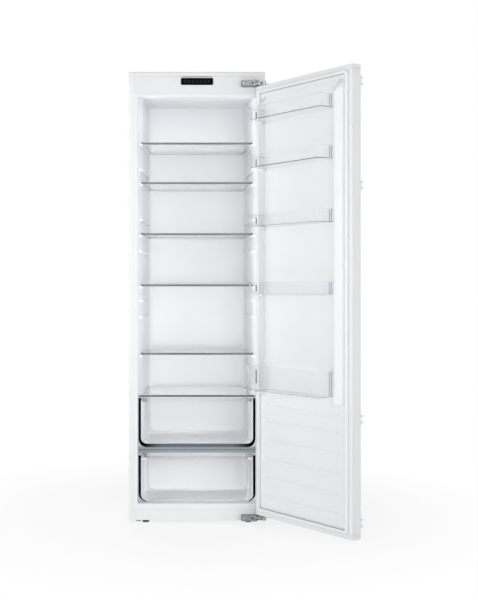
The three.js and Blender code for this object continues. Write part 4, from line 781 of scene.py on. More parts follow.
class Finishes:
    """The finishes of the refrigerator."""

    ENAMEL = Finish("white_enamel_sheet", (0.86, 0.865, 0.87), 0.30, mottle=0.006, mottle_scale=3.0, coat=0.2,
                    gloss_spread=0.012, grain_scale=420.0, grain_depth=0.008 * MM, wave_scale=4.0,
                    wave_depth=0.05 * MM)
    MOULDED = Finish("white_moulded_plastic", (0.84, 0.846, 0.856), 0.42, slot="white_plastic",
                     grain_scale=1500.0, grain_depth=0.012 * MM)
    LINER = Finish("formed_liner_plastic", (0.885, 0.889, 0.912), 0.36, slot="liner_plastic", mottle=0.015,
                   mottle_scale=4.0, grain_scale=700.0, grain_depth=0.012 * MM, wave_scale=7.0,
                   wave_depth=0.2 * MM)
    DOOR_LINER = replace(LINER, name="formed_door_plastic", colour=(0.87, 0.875, 0.895))
    CLEAR = ClearFinish("clear_styrene", (0.985, 0.99, 0.995), 0.05, mottle=0.01, gloss_spread=0.03,
                        grain_depth=0.002 * MM, wave_scale=22.0, wave_depth=0.03 * MM, transmission=1.0,
                        ior=1.07, specular=0.5, shade=0.995, alpha=0.45)
    BIN_CLEAR = ClearFinish("clear_bin_styrene", (0.95, 0.955, 0.962), 0.06, mottle=0.01, gloss_spread=0.03,
                            grain_depth=0.002 * MM, wave_scale=22.0, wave_depth=0.03 * MM, transmission=1.0,
                            ior=1.16, specular=0.45)
    # Painted shade: the bins' end walls are tinted darker for how a clear sheet looks when seen along it.
    BIN_END_SHADE = ClearFinish("bin_end_painted_shade", (0.36, 0.37, 0.38), 0.12, gloss_spread=0.04,
                         grain_depth=0.003 * MM, transmission=0.75, ior=1.2, shade=0.6)
    GLASS = ClearFinish("toughened_glass", (0.965, 0.98, 0.975), 0.03, mottle=0.008, gloss_spread=0.01,
                        grain_depth=0.001 * MM, transmission=1.0, ior=1.12)
    # Dark trim on the shelves' fronts; also used as painted shade in the divider's groove.
    TRIM = Finish("grey_trim_and_groove_shade", (0.10, 0.104, 0.108), 0.34, grain_scale=1300.0)
    PALE_TRIM = ClearFinish("pale_shelf_frame", (0.84, 0.85, 0.862), 0.34, mottle=0.01, grain_scale=1300.0,
                            transmission=0.3, ior=1.3, shade=0.85)
    BLUE_GREY = Finish("blue_grey_divider_front", (0.335, 0.36, 0.395), 0.22, mottle=0.05, mottle_scale=5.0,
                       grain_scale=1300.0)
    # Painted shade: the drawer seals are near black to stand in for the shade in the gaps round the drawers.
    DRAWER_GAP_SHADE = Finish("drawer_gap_painted_shade", (0.0008, 0.0008, 0.001), 0.7, mottle=0.2, grain_scale=1100.0,
                  grain_depth=0.03 * MM, specular=0.0)
    # Painted reflection and painted shade: a grey middle like a reflection on glossy black, fading to black shade
    # at both ends.
    SILL_PAINTED_REFLECTION_AND_SHADE = EndShadedFinish("drawer_sill_painted_reflection_and_shade", (0.15, 0.165, 0.19), 0.6, grain_scale=1100.0,
                                grain_depth=0.03 * MM, specular=0.1, end_colour=(0.0008, 0.0008, 0.001),
                                fade=(0.14, 0.205))
    GASKET = Finish("pale_gasket_rubber", (0.90, 0.905, 0.91), 0.5, slot="gasket", mottle=0.02,
                    grain_scale=1000.0, grain_depth=0.02 * MM)
    # Painted shadow: grey strips along the gasket's inner edge stand in for the shadow line it casts on the liner.
    GASKET_SHADOW_LINE = Finish("gasket_painted_shadow_line", (0.26, 0.265, 0.27), 0.55, slot="gasket", mottle=0.06,
                 grain_scale=1000.0, grain_depth=0.02 * MM)
    DISPLAY = Finish("touch_display_gloss", (0.003, 0.003, 0.0034), 0.16, gloss_spread=0.02,
                     grain_depth=0.001 * MM, specular=0.025)
    PRINT = Finish("pale_display_print", (0.06, 0.062, 0.062), 0.3, slot="light_lens", grain_scale=1600.0)
    LENS = Finish("frosted_light_lens", (0.90, 0.91, 0.92), 0.38, grain_scale=1600.0, transmission=0.35)
    STEEL = BrushedMetal("pressed_hinge_steel", (0.27, 0.275, 0.28), 0.40, metallic=0.85, mottle=0.2,
                         mottle_scale=60.0, gloss_spread=0.1, grain_depth=0.01 * MM)
    DARK_STEEL = BrushedMetal("blackened_hinge_steel", (0.09, 0.092, 0.095), 0.42, slot="hinge_steel",
                              metallic=0.7, mottle=0.2, mottle_scale=60.0, gloss_spread=0.1,
                              grain_depth=0.01 * MM)
    ZINC = BrushedMetal("zinc_plated_steel", (0.42, 0.43, 0.44), 0.34, slot="zinc", metallic=0.9,
                        mottle=0.16, mottle_scale=110.0, gloss_spread=0.08, grain_depth=0.006 * MM)
    SHEET_STEEL = BrushedMetal("galvanised_sheet", (0.60, 0.615, 0.63), 0.42, metallic=1.0, mottle=0.18,
                               mottle_scale=38.0, gloss_spread=0.1, grain_depth=0.008 * MM)
    COPPER = BrushedMetal("drawn_copper_tube", (0.72, 0.36, 0.22), 0.30, metallic=1.0, mottle=0.3,
                          mottle_scale=70.0, gloss_spread=0.1, grain_depth=0.004 * MM)
    SHELL_BLACK = Finish("black_shell_enamel", (0.018, 0.018, 0.02), 0.34, mottle=0.2, coat=0.3,
                         grain_scale=420.0, grain_depth=0.03 * MM)
    COIL_BLACK = Finish("black_coil_lacquer", (0.02, 0.02, 0.021), 0.42, slot="coil_black", mottle=0.25,
                        coat=0.2, grain_scale=500.0, grain_depth=0.03 * MM)
    GREY = Finish("grey_moulded_plastic", (0.33, 0.34, 0.35), 0.46, slot="grey_plastic", grain_scale=1300.0,
                  grain_depth=0.02 * MM)
    DARK = Finish("dark_moulded_plastic", (0.035, 0.036, 0.038), 0.5, slot="grey_plastic",
                  grain_scale=1300.0, grain_depth=0.02 * MM)
    SLOT_SHADE = Finish("fascia_slot_painted_shade", (0.0015, 0.0015, 0.0016), 0.8, grain_scale=1300.0, specular=0.0)
    FOAM = Finish("cured_insulation_foam", (0.76, 0.66, 0.42), 0.85, mottle=0.12, mottle_scale=40.0,
                  grain_scale=650.0, grain_depth=0.4 * MM)


def body_of(node: str) -> str:
    """Find the body that carries a node."""
    bodies = frame["record"]["behaviour"]["bodies"]
    return next(body for body, nodes in bodies.items() if node in nodes)


def facing(place: Place, direction: Place) -> Matrix:
    """Give the matrix that puts a form from the origin at a place, with its +Z along a direction."""
    return Matrix.Translation(place) @ Vector(direction).to_track_quat("Z", "Y").to_matrix().to_4x4()


def route(start: Place, offsets: Sequence[Place]) -> list[Place]:
    """Give the places that lie at some offsets from a start."""
    return [tuple(a + b for a, b in zip(start, offset)) for offset in offsets]


class DoorFrame:
    """Takes what is modelled on the closed door to where the open door holds it."""

    def __init__(self) -> None:
        """Work the door's travel out from its two hinge joints."""
        joints = {joint["name"]: joint for joint in frame["joints"]}
        self.placed = self._swing(joints["door_swing"]) @ self._swing(joints["link_swing"])

    @staticmethod
    def _swing(joint: dict) -> Matrix:
        """Give the turn about a joint from its closed limit to rest.

        Args:
            joint: The joint as the frame gives it.

        Returns:
            The turn.
        """
        pivot = Vector(joint["pos_m"])
        turn = Matrix.Rotation(-math.radians(joint["range_deg"][0]), 4, "Z")
        return Matrix.Translation(pivot) @ turn @ Matrix.Translation(-pivot)

    def open(self, *pieces: bpy.types.Object) -> None:
        """Turn pieces from the closed to the open door, in their meshes."""
        for piece in pieces:
            piece.data.transform(self.placed)

    def closed(self, point: Vector) -> Vector:
        """Give a point of the open door as it is on the closed one."""
        return self.placed.inverted() @ point


@dataclass
class SubAssembly:
    """A group of pieces that ride on one body of the frame, unless a piece names another."""

    body: str

    def dress(self, node: str, finish: Finish) -> None:
        """Give a node that keeps its shape its finish.

        Args:
            node: Name of the node.
            finish: Its finish.
        """
        obj = frame["nodes"][node]
        obj.data.materials.clear()
        obj.data.materials.append(finish.material())
        log.info("%s keeps its shape in %s", node, finish.name)

    def refine(self, node: str, finish: Finish, edge: Edge, body: str | None = None) -> bpy.types.Object:
        """Replace a node by a copy with rounded edges and smooth shading.

        Args:
            node: Name of the node.
            finish: Its finish.
            edge: How far its edges are rounded.
            body: The body that it rides on, if not the sub-assembly's own.

        Returns:
            The new piece.
        """
        obj = Workbench.copy_node(node)
        Workbench.round_edges(obj, edge)
        return self.settle(obj, finish, body, node)

    def settle(self, obj: bpy.types.Object, finish: Finish, body: str | None = None,
               *nodes: str) -> bpy.types.Object:
        """Shade a piece, give it its finish and put it on its body.

        Args:
            obj: The piece.
            finish: Its finish.
            body: The body that it rides on, if not the sub-assembly's own.
            nodes: The nodes that it stands for.

        Returns:
            The piece.
        """
        Workbench.smooth(obj)
        obj.data.materials.clear()
        obj.data.materials.append(finish.material())
        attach(obj, body or self.body)
        if nodes:
            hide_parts(*nodes)
        log.info("%s in %s", obj.name, finish.name)
        return obj

    def paint(self, obj: bpy.types.Object, finish: Finish, test: Callable[[Vector, Vector], bool]) -> None:
        """Give some faces of a finished piece a second finish.

        Args:
            obj: The piece.
            finish: The second finish.
            test: Takes a face's centre and normal and says whether it gets the finish.
        """
        obj.data.materials.append(finish.material())
        index = len(obj.data.materials) - 1
        for face in obj.data.polygons:
            if test(face.center, face.normal):
                face.material_index = index

    def add_set(self, name: str, finish: Finish, pieces: Sequence[bpy.types.Object],
                body: str | None = None) -> None:
        """Join several like forms into one piece and put it on its body.

        Args:
            name: Name of the new piece.
            finish: Its finish.
            pieces: The forms, in place.
            body: The body that it rides on, if not the sub-assembly's own.
        """
        self.settle(Workbench.join(name, pieces), finish, body)

    def add_screws(self, name: str, radius: float, places: Sequence[Matrix], body: str | None = None) -> None:
        """Add a set of like screws as one piece.

        Args:
            name: Name of the new piece.
            radius: Radius of a screw's head.
            places: Where the screws sit.
            body: The body that they ride on, if not the sub-assembly's own.
        """
        self.add_set(name, Finishes.ZINC, Workbench.stamp(ScrewHead(radius).model(), places), body)


@dataclass
class GlassShelf(SubAssembly):
    """What shelves and the crisper cover share: a dark line along the front of a pale frame."""

    trim_depth: float = 1.2 * MM

    def trim(self, obj: bpy.types.Object) -> None:
        """Give the faces of a frame's front edge the dark trim.

        Args:
            obj: The frame.
        """
        front = min(vertex.co.y for vertex in obj.data.vertices) + self.trim_depth
        self.paint(obj, Finishes.TRIM, lambda centre, normal: centre.y < front)


@dataclass
class CabinetShell(SubAssembly):
    """Sheet metal case, its top rail, back panel and the foam inside, with their screws."""

    screw_radius: float = 3.6 * MM
    screw_inset: float = 11.0 * MM
    back_rows: int = 6
    back_top_shares: Span = (-0.4, 0.4)
    rail_screw_shares: tuple[float, ...] = (-0.78, -0.26, 0.26, 0.78)
    glide_low: Place = (-0.241, -0.266, -0.004)
    glide_high: Place = (-0.223, -0.242, 0.0)

    def build(self) -> None:
        """Dress the shell and add its screws and the glide under its left corner."""
        self.refine("outer_case", Finishes.ENAMEL, Edge.SHEET)
        self.refine("top_rail", Finishes.MOULDED, Edge.SOFT)
        self.refine("back_panel", Finishes.ENAMEL, Edge.SHEET)
        self.dress("insulation_foam", Finishes.FOAM)
        self._back_screws()
        self._rail_screws()
        glide = Workbench.soft_block("case_glide", self.glide_low, self.glide_high, Edge.CRISP.value)
        self.settle(glide, Finishes.DARK)

    def _back_screws(self) -> None:
        """Screw the back panel down along both sides and its top."""
        low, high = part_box("back_panel")
        half, back, top = high[0] - self.screw_inset, high[1], high[2] - self.screw_inset
        rise = (high[2] - low[2] - 2 * self.screw_inset) / (self.back_rows - 1)
        levels = [low[2] + self.screw_inset + row * rise for row in range(self.back_rows)]
        spots = [(side * half, back, level) for level in levels for side in (-1, 1)]
        spots += [(share * half, back, top) for share in self.back_top_shares]
        places = [facing(spot, (0, 1, 0)) for spot in spots]
        self.add_screws("back_panel_screws", self.screw_radius, places)

    def _rail_screws(self) -> None:
        """Screw the top rail to the case."""
        low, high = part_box("top_rail")
        middle = (low[1] + high[1]) / 2
        places = [facing((share * high[0], middle, high[2]), (0, 0, 1)) for share in self.rail_screw_shares]
        self.add_screws("top_rail_screws", self.screw_radius, places)


@dataclass
class ControlFascia(SubAssembly):
    """The strip above the compartment with its touch display."""

    mark_proud: float = 0.12 * MM
    ring_radius: float = 2.4 * MM
    ring_wall: float = 0.72 * MM
    bar_size: Span = (5.0 * MM, 1.0 * MM)
    mark_shares: tuple[float, ...] = (-0.72, -0.48, -0.24, 0.0, 0.24, 0.48, 0.72)
    slot_half: float = 61.0 * MM
    slot_rise: float = 7.0 * MM
    slot_behind: float = 0.7 * MM

    def build(self) -> None:
        """Dress the strip and the display, paint shade into the slot above the display and print plain marks on
        it.
        """
        fascia = self.refine("control_fascia", Finishes.MOULDED, Edge.CRISP)
        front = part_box("control_fascia")[0][1] + self.slot_behind
        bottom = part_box("display_panel")[1][2]
        # Painted shade: the faces inside the slot above the display are painted near black.
        self.paint(fascia, Finishes.SLOT_SHADE,
                   lambda centre, normal: centre.y > front and abs(centre.x) < self.slot_half
                   and bottom < centre.z < bottom + self.slot_rise)
        self.refine("display_panel", Finishes.DISPLAY, Edge.CRISP)
        self._marks()

    def _marks(self) -> None:
        """Print a row of rings and bars."""
        low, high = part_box("display_panel")
        level = (low[2] + high[2]) / 2
        marks = []
        for number, share in enumerate(self.mark_shares):
            centre = (share * high[0], low[1], level)
            if number % 2:
                marks += self._bars(centre)
            else:
                marks.append(Workbench.ring("mark_ring", centre, self.ring_radius, 2 * self.mark_proud,
                                            self.ring_wall))
        self.add_set("display_marks", Finishes.PRINT, marks)

    def _bars(self, centre: Place) -> list[bpy.types.Object]:
        """Print two short bars, one above the other.

        Args:
            centre: The place between them on the display's front.

        Returns:
            The bars.
        """
        x, front, z = centre
        width, height = self.bar_size
        bars = []
        for level in (z - height, z + height):
            bars.append(Workbench.soft_block(
                "mark_bar", (x - width / 2, front - self.mark_proud, level - height / 2),
                (x + width / 2, front + self.mark_proud, level + height / 2), self.mark_proud))
        return bars


@dataclass
class Compartment(SubAssembly):
    """The formed liner and the light in its ceiling."""

    def build(self) -> None:
        """Dress the liner and the lens."""
        self.refine("inner_liner", Finishes.LINER, Edge.CRISP)
        self.refine("interior_light", Finishes.LENS, Edge.CRISP)


@dataclass
class ShelfSet(GlassShelf):
    """The glass shelves in their frames."""

    count: int = 5

    def build(self) -> None:
        """Dress each shelf on its own body."""
        for number in range(1, self.count + 1):
            shelf = f"shelf_{number}"
            self.trim(self.refine(f"{shelf}_frame", Finishes.PALE_TRIM, Edge.CRISP, shelf))
            self.refine(f"{shelf}_glass", Finishes.GLASS, Edge.SHEET, shelf)


@dataclass
class CrisperUnit(GlassShelf):
    """The cover, the divider, both drawers and the seals whose black paints the shade round their fronts."""

    catch_inner: float = 199.0 * MM
    catch_outer: float = 218.0 * MM
    catch_depth: float = 0.9 * MM
    catch_height: float = 13.0 * MM
    catch_overlap: float = 8.0 * MM
    seal_corner: float = 205.0 * MM
    seal_height: float = 9.0 * MM
    strip_depth: float = 2.0 * MM
    groove: Span = (270.6 * MM, 273.4 * MM)

    def build(self) -> None:
        """Dress the unit and add the catches on the drawers."""
        self.trim(self.refine("crisper_cover_frame", Finishes.PALE_TRIM, Edge.CRISP))
        self.refine("crisper_cover_glass", Finishes.GLASS, Edge.SHEET)
        self._divider()
        for level, sill in (("upper", Finishes.SILL_PAINTED_REFLECTION_AND_SHADE), ("lower", Finishes.GASKET)):
            # Painted shade: each seal is near black for the shade of the gap round its drawer.
            seal = self.refine(f"{level}_crisper_seal", Finishes.DRAWER_GAP_SHADE, Edge.CRISP)
            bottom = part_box(f"{level}_crisper_seal")[0][2] + self.seal_height
            # The upper sill gets a painted reflection in its middle and painted shade at its ends; the lower sill
            # is pale gasket.
            self.paint(seal, sill,
                       lambda centre, normal: centre.z < bottom and abs(centre.x) < self.seal_corner)
            self.refine(f"{level}_crisper_drawer", Finishes.CLEAR, Edge.CRISP, f"{level}_drawer")
        drawer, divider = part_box("upper_crisper_drawer"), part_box("drawer_divider")
        self._catches("upper", "upper_drawer", drawer[0][1], drawer[1][2])
        self._catches("lower", "cabinet", divider[0][1], divider[0][2] + self.catch_overlap)

    def _divider(self) -> None:
        """Dress the divider, whose front strip is grey, with the groove along it painted dark as shade."""
        divider = self.refine("drawer_divider", Finishes.MOULDED, Edge.CRISP)
        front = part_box("drawer_divider")[0][1] + self.strip_depth
        low, high = self.groove
        self.paint(divider, Finishes.BLUE_GREY, lambda centre, normal: centre.y < front)
        # Painted shade: the faces of the groove are painted dark.
        self.paint(divider, Finishes.TRIM, lambda centre, normal: centre.y < front and low < centre.z < high)

    def _catches(self, level: str, body: str, front: float, top: float) -> None:
        """Add the grey catch at each end of a drawer's top.

        Args:
            level: Which drawer.
            body: The body that carries the catches.
            front: Place along Y of the face that they sit on.
            top: Their upper end.
        """
        catches = []
        for side in (-1, 1):
            ends = sorted((side * self.catch_inner, side * self.catch_outer))
            catches.append(Workbench.soft_block(
                "drawer_catch", (ends[0], front - self.catch_depth, top - self.catch_height),
                (ends[1], front, top), Edge.SHEET.value))
        self.add_set(f"{level}_drawer_catches", Finishes.GREY, catches, body)


@dataclass
class DoorAssembly(SubAssembly):
    """The insulated door with its gasket, caps and furniture brackets."""

    hung: DoorFrame = field(default_factory=DoorFrame)
    bin_count: int = 5
    bracket_count: int = 4
    screw_x: float = -250.5 * MM
    screw_rise: float = 13.0 * MM
    screw_radius: float = 3.0 * MM
    plate_depth: float = 3.0 * MM
    lug_x: float = -264.0 * MM
    lug_rise: float = 11.0 * MM
    bush_radius: float = 2.9 * MM
    bush_proud: float = 1.2 * MM
    bush_wall: float = 1.16 * MM
    shadow_line_half: float = 238.0 * MM
    shadow_line_height: float = 1.0 * MM
    shadow_line_depth: float = 2.4 * MM
    shadow_line_inset: float = 12.6 * MM
    end_wall: float = 203.6 * MM
    bin_end: float = 205.6 * MM
    grip_reach: float = 1.0 * MM
    near_grip_and_gap_shade: Span = (-233.0 * MM, -226.0 * MM)
    far_grips: tuple[Span, Span] = ((-240.5 * MM, -237.5 * MM), (-231.5 * MM, -228.5 * MM))
    near_gap_shade_grip_shares: Span = (0.22, 0.78)
    far_grip_shares: Span = (0.04, 0.94)

    def build(self) -> None:
        """Dress the door, add painted gasket shadow lines, bin grips and the brackets' screws and bushes."""
        self.refine("door_outer_panel", Finishes.ENAMEL, Edge.SHEET)
        self.refine("door_inner_liner", Finishes.DOOR_LINER, Edge.CRISP)
        self.refine("door_top_cap", Finishes.MOULDED, Edge.SOFT)
        self.refine("door_bottom_cap", Finishes.MOULDED, Edge.SOFT)
        self.refine("door_gasket", Finishes.GASKET, Edge.CRISP)
        self.dress("door_foam", Finishes.FOAM)
        self._shadow_lines()
        for number in range(1, self.bin_count + 1):
            self._bin(f"door_bin_{number}")
        for number in range(1, self.bracket_count + 1):
            self._bracket(number)

    def _bin(self, node: str) -> None:
        """Dress a bin, whose end walls are painted darker as painted shade for a clear sheet seen along it.

        Args:
            node: Name of the bin's node.
        """
        piece = self.refine(node, Finishes.BIN_CLEAR, Edge.CRISP)
        # Painted shade: the end walls get the darker tint of a clear sheet seen along it.
        self.paint(piece, Finishes.BIN_END_SHADE,
                   lambda centre, normal: abs(self.hung.closed(centre).x) > self.end_wall)
        low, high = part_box(node)
        # Painted shade: the grey grip at the hinge end also stands in for the shadow gap where the bin's end meets
        # the door's ridge.
        grips = [self._grip(self.near_grip_and_gap_shade, self.near_gap_shade_grip_shares, 1, low[2], high[2])]
        grips += [self._grip(span, self.far_grip_shares, -1, low[2], high[2]) for span in self.far_grips]
        self.hung.open(*grips)
        self.add_set(f"{node}_grips", Finishes.GREY, grips)

    def _grip(self, span: Span, shares: Span, side: int, bottom: float, top: float) -> bpy.types.Object:
        """Model one upright grip where a bin's end bears on the door's ridge; at the hinge end its grey also
        paints the gap's shade.

        Args:
            span: Where the grip starts and ends along Y.
            shares: Its lower and upper end, as shares of the bin's height.
            side: 1 at the hinge, -1 at the free edge.
            bottom: Underside of the bin.
            top: Rim of the bin.

        Returns:
            The grip on the closed door.
        """
        ends = sorted((side * self.bin_end, side * (self.bin_end + self.grip_reach)))
        levels = [bottom + share * (top - bottom) for share in shares]
        return Workbench.soft_block("bin_grip_and_gap_shade", (ends[0], span[0], levels[0]), (ends[1], span[1], levels[1]),
                                    Edge.SHEET.value)

    def _shadow_lines(self) -> None:
        """Lay a grey strip along the gasket's top and bottom runs: a painted shadow line at its inner edge."""
        low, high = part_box("door_gasket")
        face = max(self._depths("door_gasket"))
        for run, level in (("top", high[2] - self.shadow_line_inset), ("bottom", low[2] + self.shadow_line_inset)):
            shadow_line = Workbench.soft_block(
                f"gasket_shadow_line_{run}", (-self.shadow_line_half, face - self.shadow_line_depth, level - self.shadow_line_height / 2),
                (self.shadow_line_half, face, level + self.shadow_line_height / 2), Edge.SHEET.value)
            self.hung.open(shadow_line)
            self.settle(shadow_line, Finishes.GASKET_SHADOW_LINE)

    def _depths(self, node: str) -> list[float]:
        """Give the places of a node's corners along the closed door's Y."""
        return [self.hung.closed(vertex.co).y for vertex in frame["nodes"][node].data.vertices]

    def _plate_face(self, node: str) -> float:
        """Find the outer face of a bracket's plate, as a place along the closed door's Y."""
        limit = max(self._depths(node)) - self.plate_depth
        faces = (self.hung.closed(face.center).y for face in frame["nodes"][node].data.polygons)
        return min(y for y in faces if y > limit)

    def _bracket(self, number: int) -> None:
        """Dress one furniture bracket, screw it down and line its lugs with bushes.

        Args:
            number: Number of the bracket, counted from the top.
        """
        node = f"door_bracket_{number}"
        self.refine(node, Finishes.MOULDED, Edge.SHEET)
        low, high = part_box(node)
        level = (low[2] + high[2]) / 2
        face, tip = self._plate_face(node), min(self._depths(node))
        places = [self.hung.placed @ facing((self.screw_x, face, level + side * self.screw_rise), (0, -1, 0))
                  for side in (-1, 1)]
        self.add_screws(f"bracket_screws_{number}", self.screw_radius, places)
        bushes = [Workbench.ring("lug_bush", (self.lug_x, tip, level + side * self.lug_rise),
                                 self.bush_radius, 2 * self.bush_proud, self.bush_wall) for side in (-1, 1)]
        self.hung.open(*bushes)
        self.add_set(f"bracket_bushes_{number}", Finishes.GREY, bushes)


@dataclass
class HingeSet(SubAssembly):
    """Both hinges: housing, link, pins and the plate on the door's end."""

    screw_inset: float = 9.5 * MM
    screw_radius: float = 5.4 * MM
    recess_depth: float = 2.5 * MM

    def build(self) -> None:
        """Dress both hinges and screw their housings down."""
        for end in Ends:
            name = end.value
            self.refine(f"{name}_hinge_housing", Finishes.STEEL, Edge.CRISP)
            self.refine(f"{name}_cabinet_pin", Finishes.ZINC, Edge.SHEET)
            self.refine(f"{name}_hinge_link", Finishes.ZINC, Edge.SHEET, "hinge_links")
            self.refine(f"{name}_door_pin", Finishes.ZINC, Edge.SHEET, body_of(f"{name}_door_pin"))
            self.refine(f"{name}_door_plate", Finishes.DARK_STEEL, Edge.SHEET, "door")
            low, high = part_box(f"{name}_hinge_housing")
            seat = (low[0] + self.screw_inset, low[1] + self.recess_depth, (low[2] + high[2]) / 2)
            self.add_screws(f"{name}_housing_screw", self.screw_radius, [facing(seat, (0, -1, 0))])


@dataclass
class BaseUnit(SubAssembly):
    """Rail, plate, feet and rollers under the cabinet."""

    screw_radius: float = 3.4 * MM
    screw_inset: float = 10.2 * MM
    screw_shares: tuple[float, ...] = (-0.88, -0.3, 0.3, 0.88)

    def build(self) -> None:
        """Dress the base and screw the plate to the rail."""
        self.refine("base_rail", Finishes.ENAMEL, Edge.SHEET)
        self.refine("base_plate", Finishes.SHEET_STEEL, Edge.SHEET)
        for side in ("left", "right"):
            self.refine(f"front_foot_{side}", Finishes.DARK, Edge.SHEET, f"{side}_foot")
            self.refine(f"rear_roller_{side}", Finishes.GREY, Edge.CRISP, f"{side}_roller")
        low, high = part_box("base_plate")
        places = [facing((share * high[0], low[1] + self.screw_inset, low[2]), (0, 0, -1))
                  for share in self.screw_shares]
        self.add_screws("base_plate_screws", self.screw_radius, places)


@dataclass
class CoolingUnit(SubAssembly):
    """Compressor, tray, mains inlet and the condenser on the back, with the pipes between them.

    A pipe's run lists the offsets of its corners from the piece that it starts or ends at.
    """

    compressor: Place = (0.070, 0.138, 0.0)
    bolt_radius: float = 4.6 * MM
    bolt_offset: Place = (85.0 * MM, 34.0 * MM, 24.0 * MM)
    coil_inlet: Place = (0.205, 0.267, 0.345)
    coil_outlet: Place = (-0.205, 0.267, 1.660)
    pipe_radius: float = 3.0 * MM
    thin_radius: float = 1.2 * MM
    drier_seat: Place = (-0.252, 0.2495, 0.300)
    drier_radius: float = 8.5 * MM
    drier_half: float = 55.0 * MM
    drier_sides: int = 32
    drier_neck: float = 5.1 * MM
    drier_neck_steps: int = 5
    discharge_run: tuple[Place, ...] = ((0.020, 0.060, 0.060), (0.020, 0.088, 0.060), (0.060, 0.094, 0.060))
    coil_rise_run: tuple[Place, ...] = (
        (0.027, -0.035, -0.285), (0.041, -0.029, -0.245), (0.041, -0.013, -0.145), (0.041, -0.006, -0.055),
        (0.035, 0.0, 0.0), (0.0, 0.0, 0.0))
    coil_fall_run: tuple[Place, ...] = ((0.0, 0.0, 0.0), (-0.047, 0.0, 0.0), (-0.047, -0.004, -0.050))
    drier_top_run: tuple[Place, ...] = ((0.0, 0.0115, 0.080), (0.0, 0.0, 0.030), (0.0, 0.0, 0.0))
    drier_end_run: tuple[Place, ...] = (
        (0.0, 0.0, 0.0), (0.0, 0.0, -0.030), (0.030, -0.012, -0.050), (0.050, -0.0695, -0.055),
        (0.062, -0.1395, -0.045), (0.062, -0.1785, -0.045))
    suction_run: tuple[Place, ...] = (
        (0.065, 0.012, 0.110), (0.102, 0.012, 0.112), (0.112, 0.006, 0.165), (0.112, -0.030, 0.206),
        (0.112, -0.067, 0.206))

    def build(self) -> None:
        """Dress the machine, bolt it down and pipe it up."""
        self.refine("compressor", Finishes.SHELL_BLACK, Edge.CRISP)
        self.refine("evaporation_tray", Finishes.DARK, Edge.CRISP)
        self.refine("mains_inlet", Finishes.DARK, Edge.CRISP)
        self.dress("condenser_coil", Finishes.COIL_BLACK)
        self._bolts()
        self._pipes()
        self._drier()

    def _bolts(self) -> None:
        """Bolt the compressor's feet to the base plate."""
        x, y, seat = self.bolt_offset
        offsets = [(side * x, back * y, seat) for side in (-1, 1) for back in (-1, 1)]
        places = [facing(spot, (0, 0, 1)) for spot in route(self.compressor, offsets)]
        self.add_set("compressor_bolts", Finishes.ZINC,
                     Workbench.stamp(HexBolt(self.bolt_radius).model(), places))

    def _pipes(self) -> None:
        """Bend the discharge, liquid, thin and suction pipes."""
        x, y, z = self.drier_seat
        drier_top, drier_end = (x, y, z + self.drier_half), (x, y, z - self.drier_half)
        rising = route(self.compressor, self.discharge_run) + route(self.coil_inlet, self.coil_rise_run)
        falling = route(self.coil_outlet, self.coil_fall_run) + route(drier_top, self.drier_top_run)
        thin = route(drier_end, self.drier_end_run)
        suction = route(self.compressor, self.suction_run)
        for name, points, radius, finish in (
                ("discharge_pipe", rising, self.pipe_radius, Finishes.COIL_BLACK),
                ("liquid_pipe", falling, self.pipe_radius, Finishes.COIL_BLACK),
                ("thin_pipe", thin, self.thin_radius, Finishes.COPPER),
                ("suction_pipe", suction, self.pipe_radius, Finishes.COPPER)):
            self.settle(Workbench.pipe(name, points, radius), finish)

    def _drier(self) -> None:
        """Turn the drier, a short can with a neck at each end."""
        drier = Workbench.disc("filter_drier", self.drier_seat, self.drier_radius, 2 * self.drier_half,
                               self.drier_sides)
        Workbench.pick_faces(drier, lambda centre, normal: abs(normal.z) > Workbench.ALONG_AXIS)
        bpy.ops.mesh.bevel(offset=self.drier_neck, segments=self.drier_neck_steps, affect="EDGES")
        Workbench.done()
        self.settle(drier, Finishes.COPPER)


@dataclass(frozen=True)
class SoftBox:
    """A rectangular lamp. A clear one also shines through clear pieces, and a glossy one shows in gloss."""

    name: str
    place: Place
    aim: Place
    size: Span
    power: float
    glossy: bool = True
    clear: bool = False

    def hang(self) -> None:
        """Add the lamp to the scene, out of the camera's sight."""
        data = bpy.data.lights.new(self.name, "AREA")
        data.shape = "RECTANGLE"
        data.size, data.size_y = self.size
        data.energy = self.power
        obj = Workbench.added(self.name, data)
        obj.location = self.place
        obj.visible_camera = False
        obj.visible_glossy = self.glossy
        obj.visible_transmission = self.clear
        obj.rotation_euler = (Vector(self.aim) - Vector(self.place)).to_track_quat("-Z", "Y").to_euler()


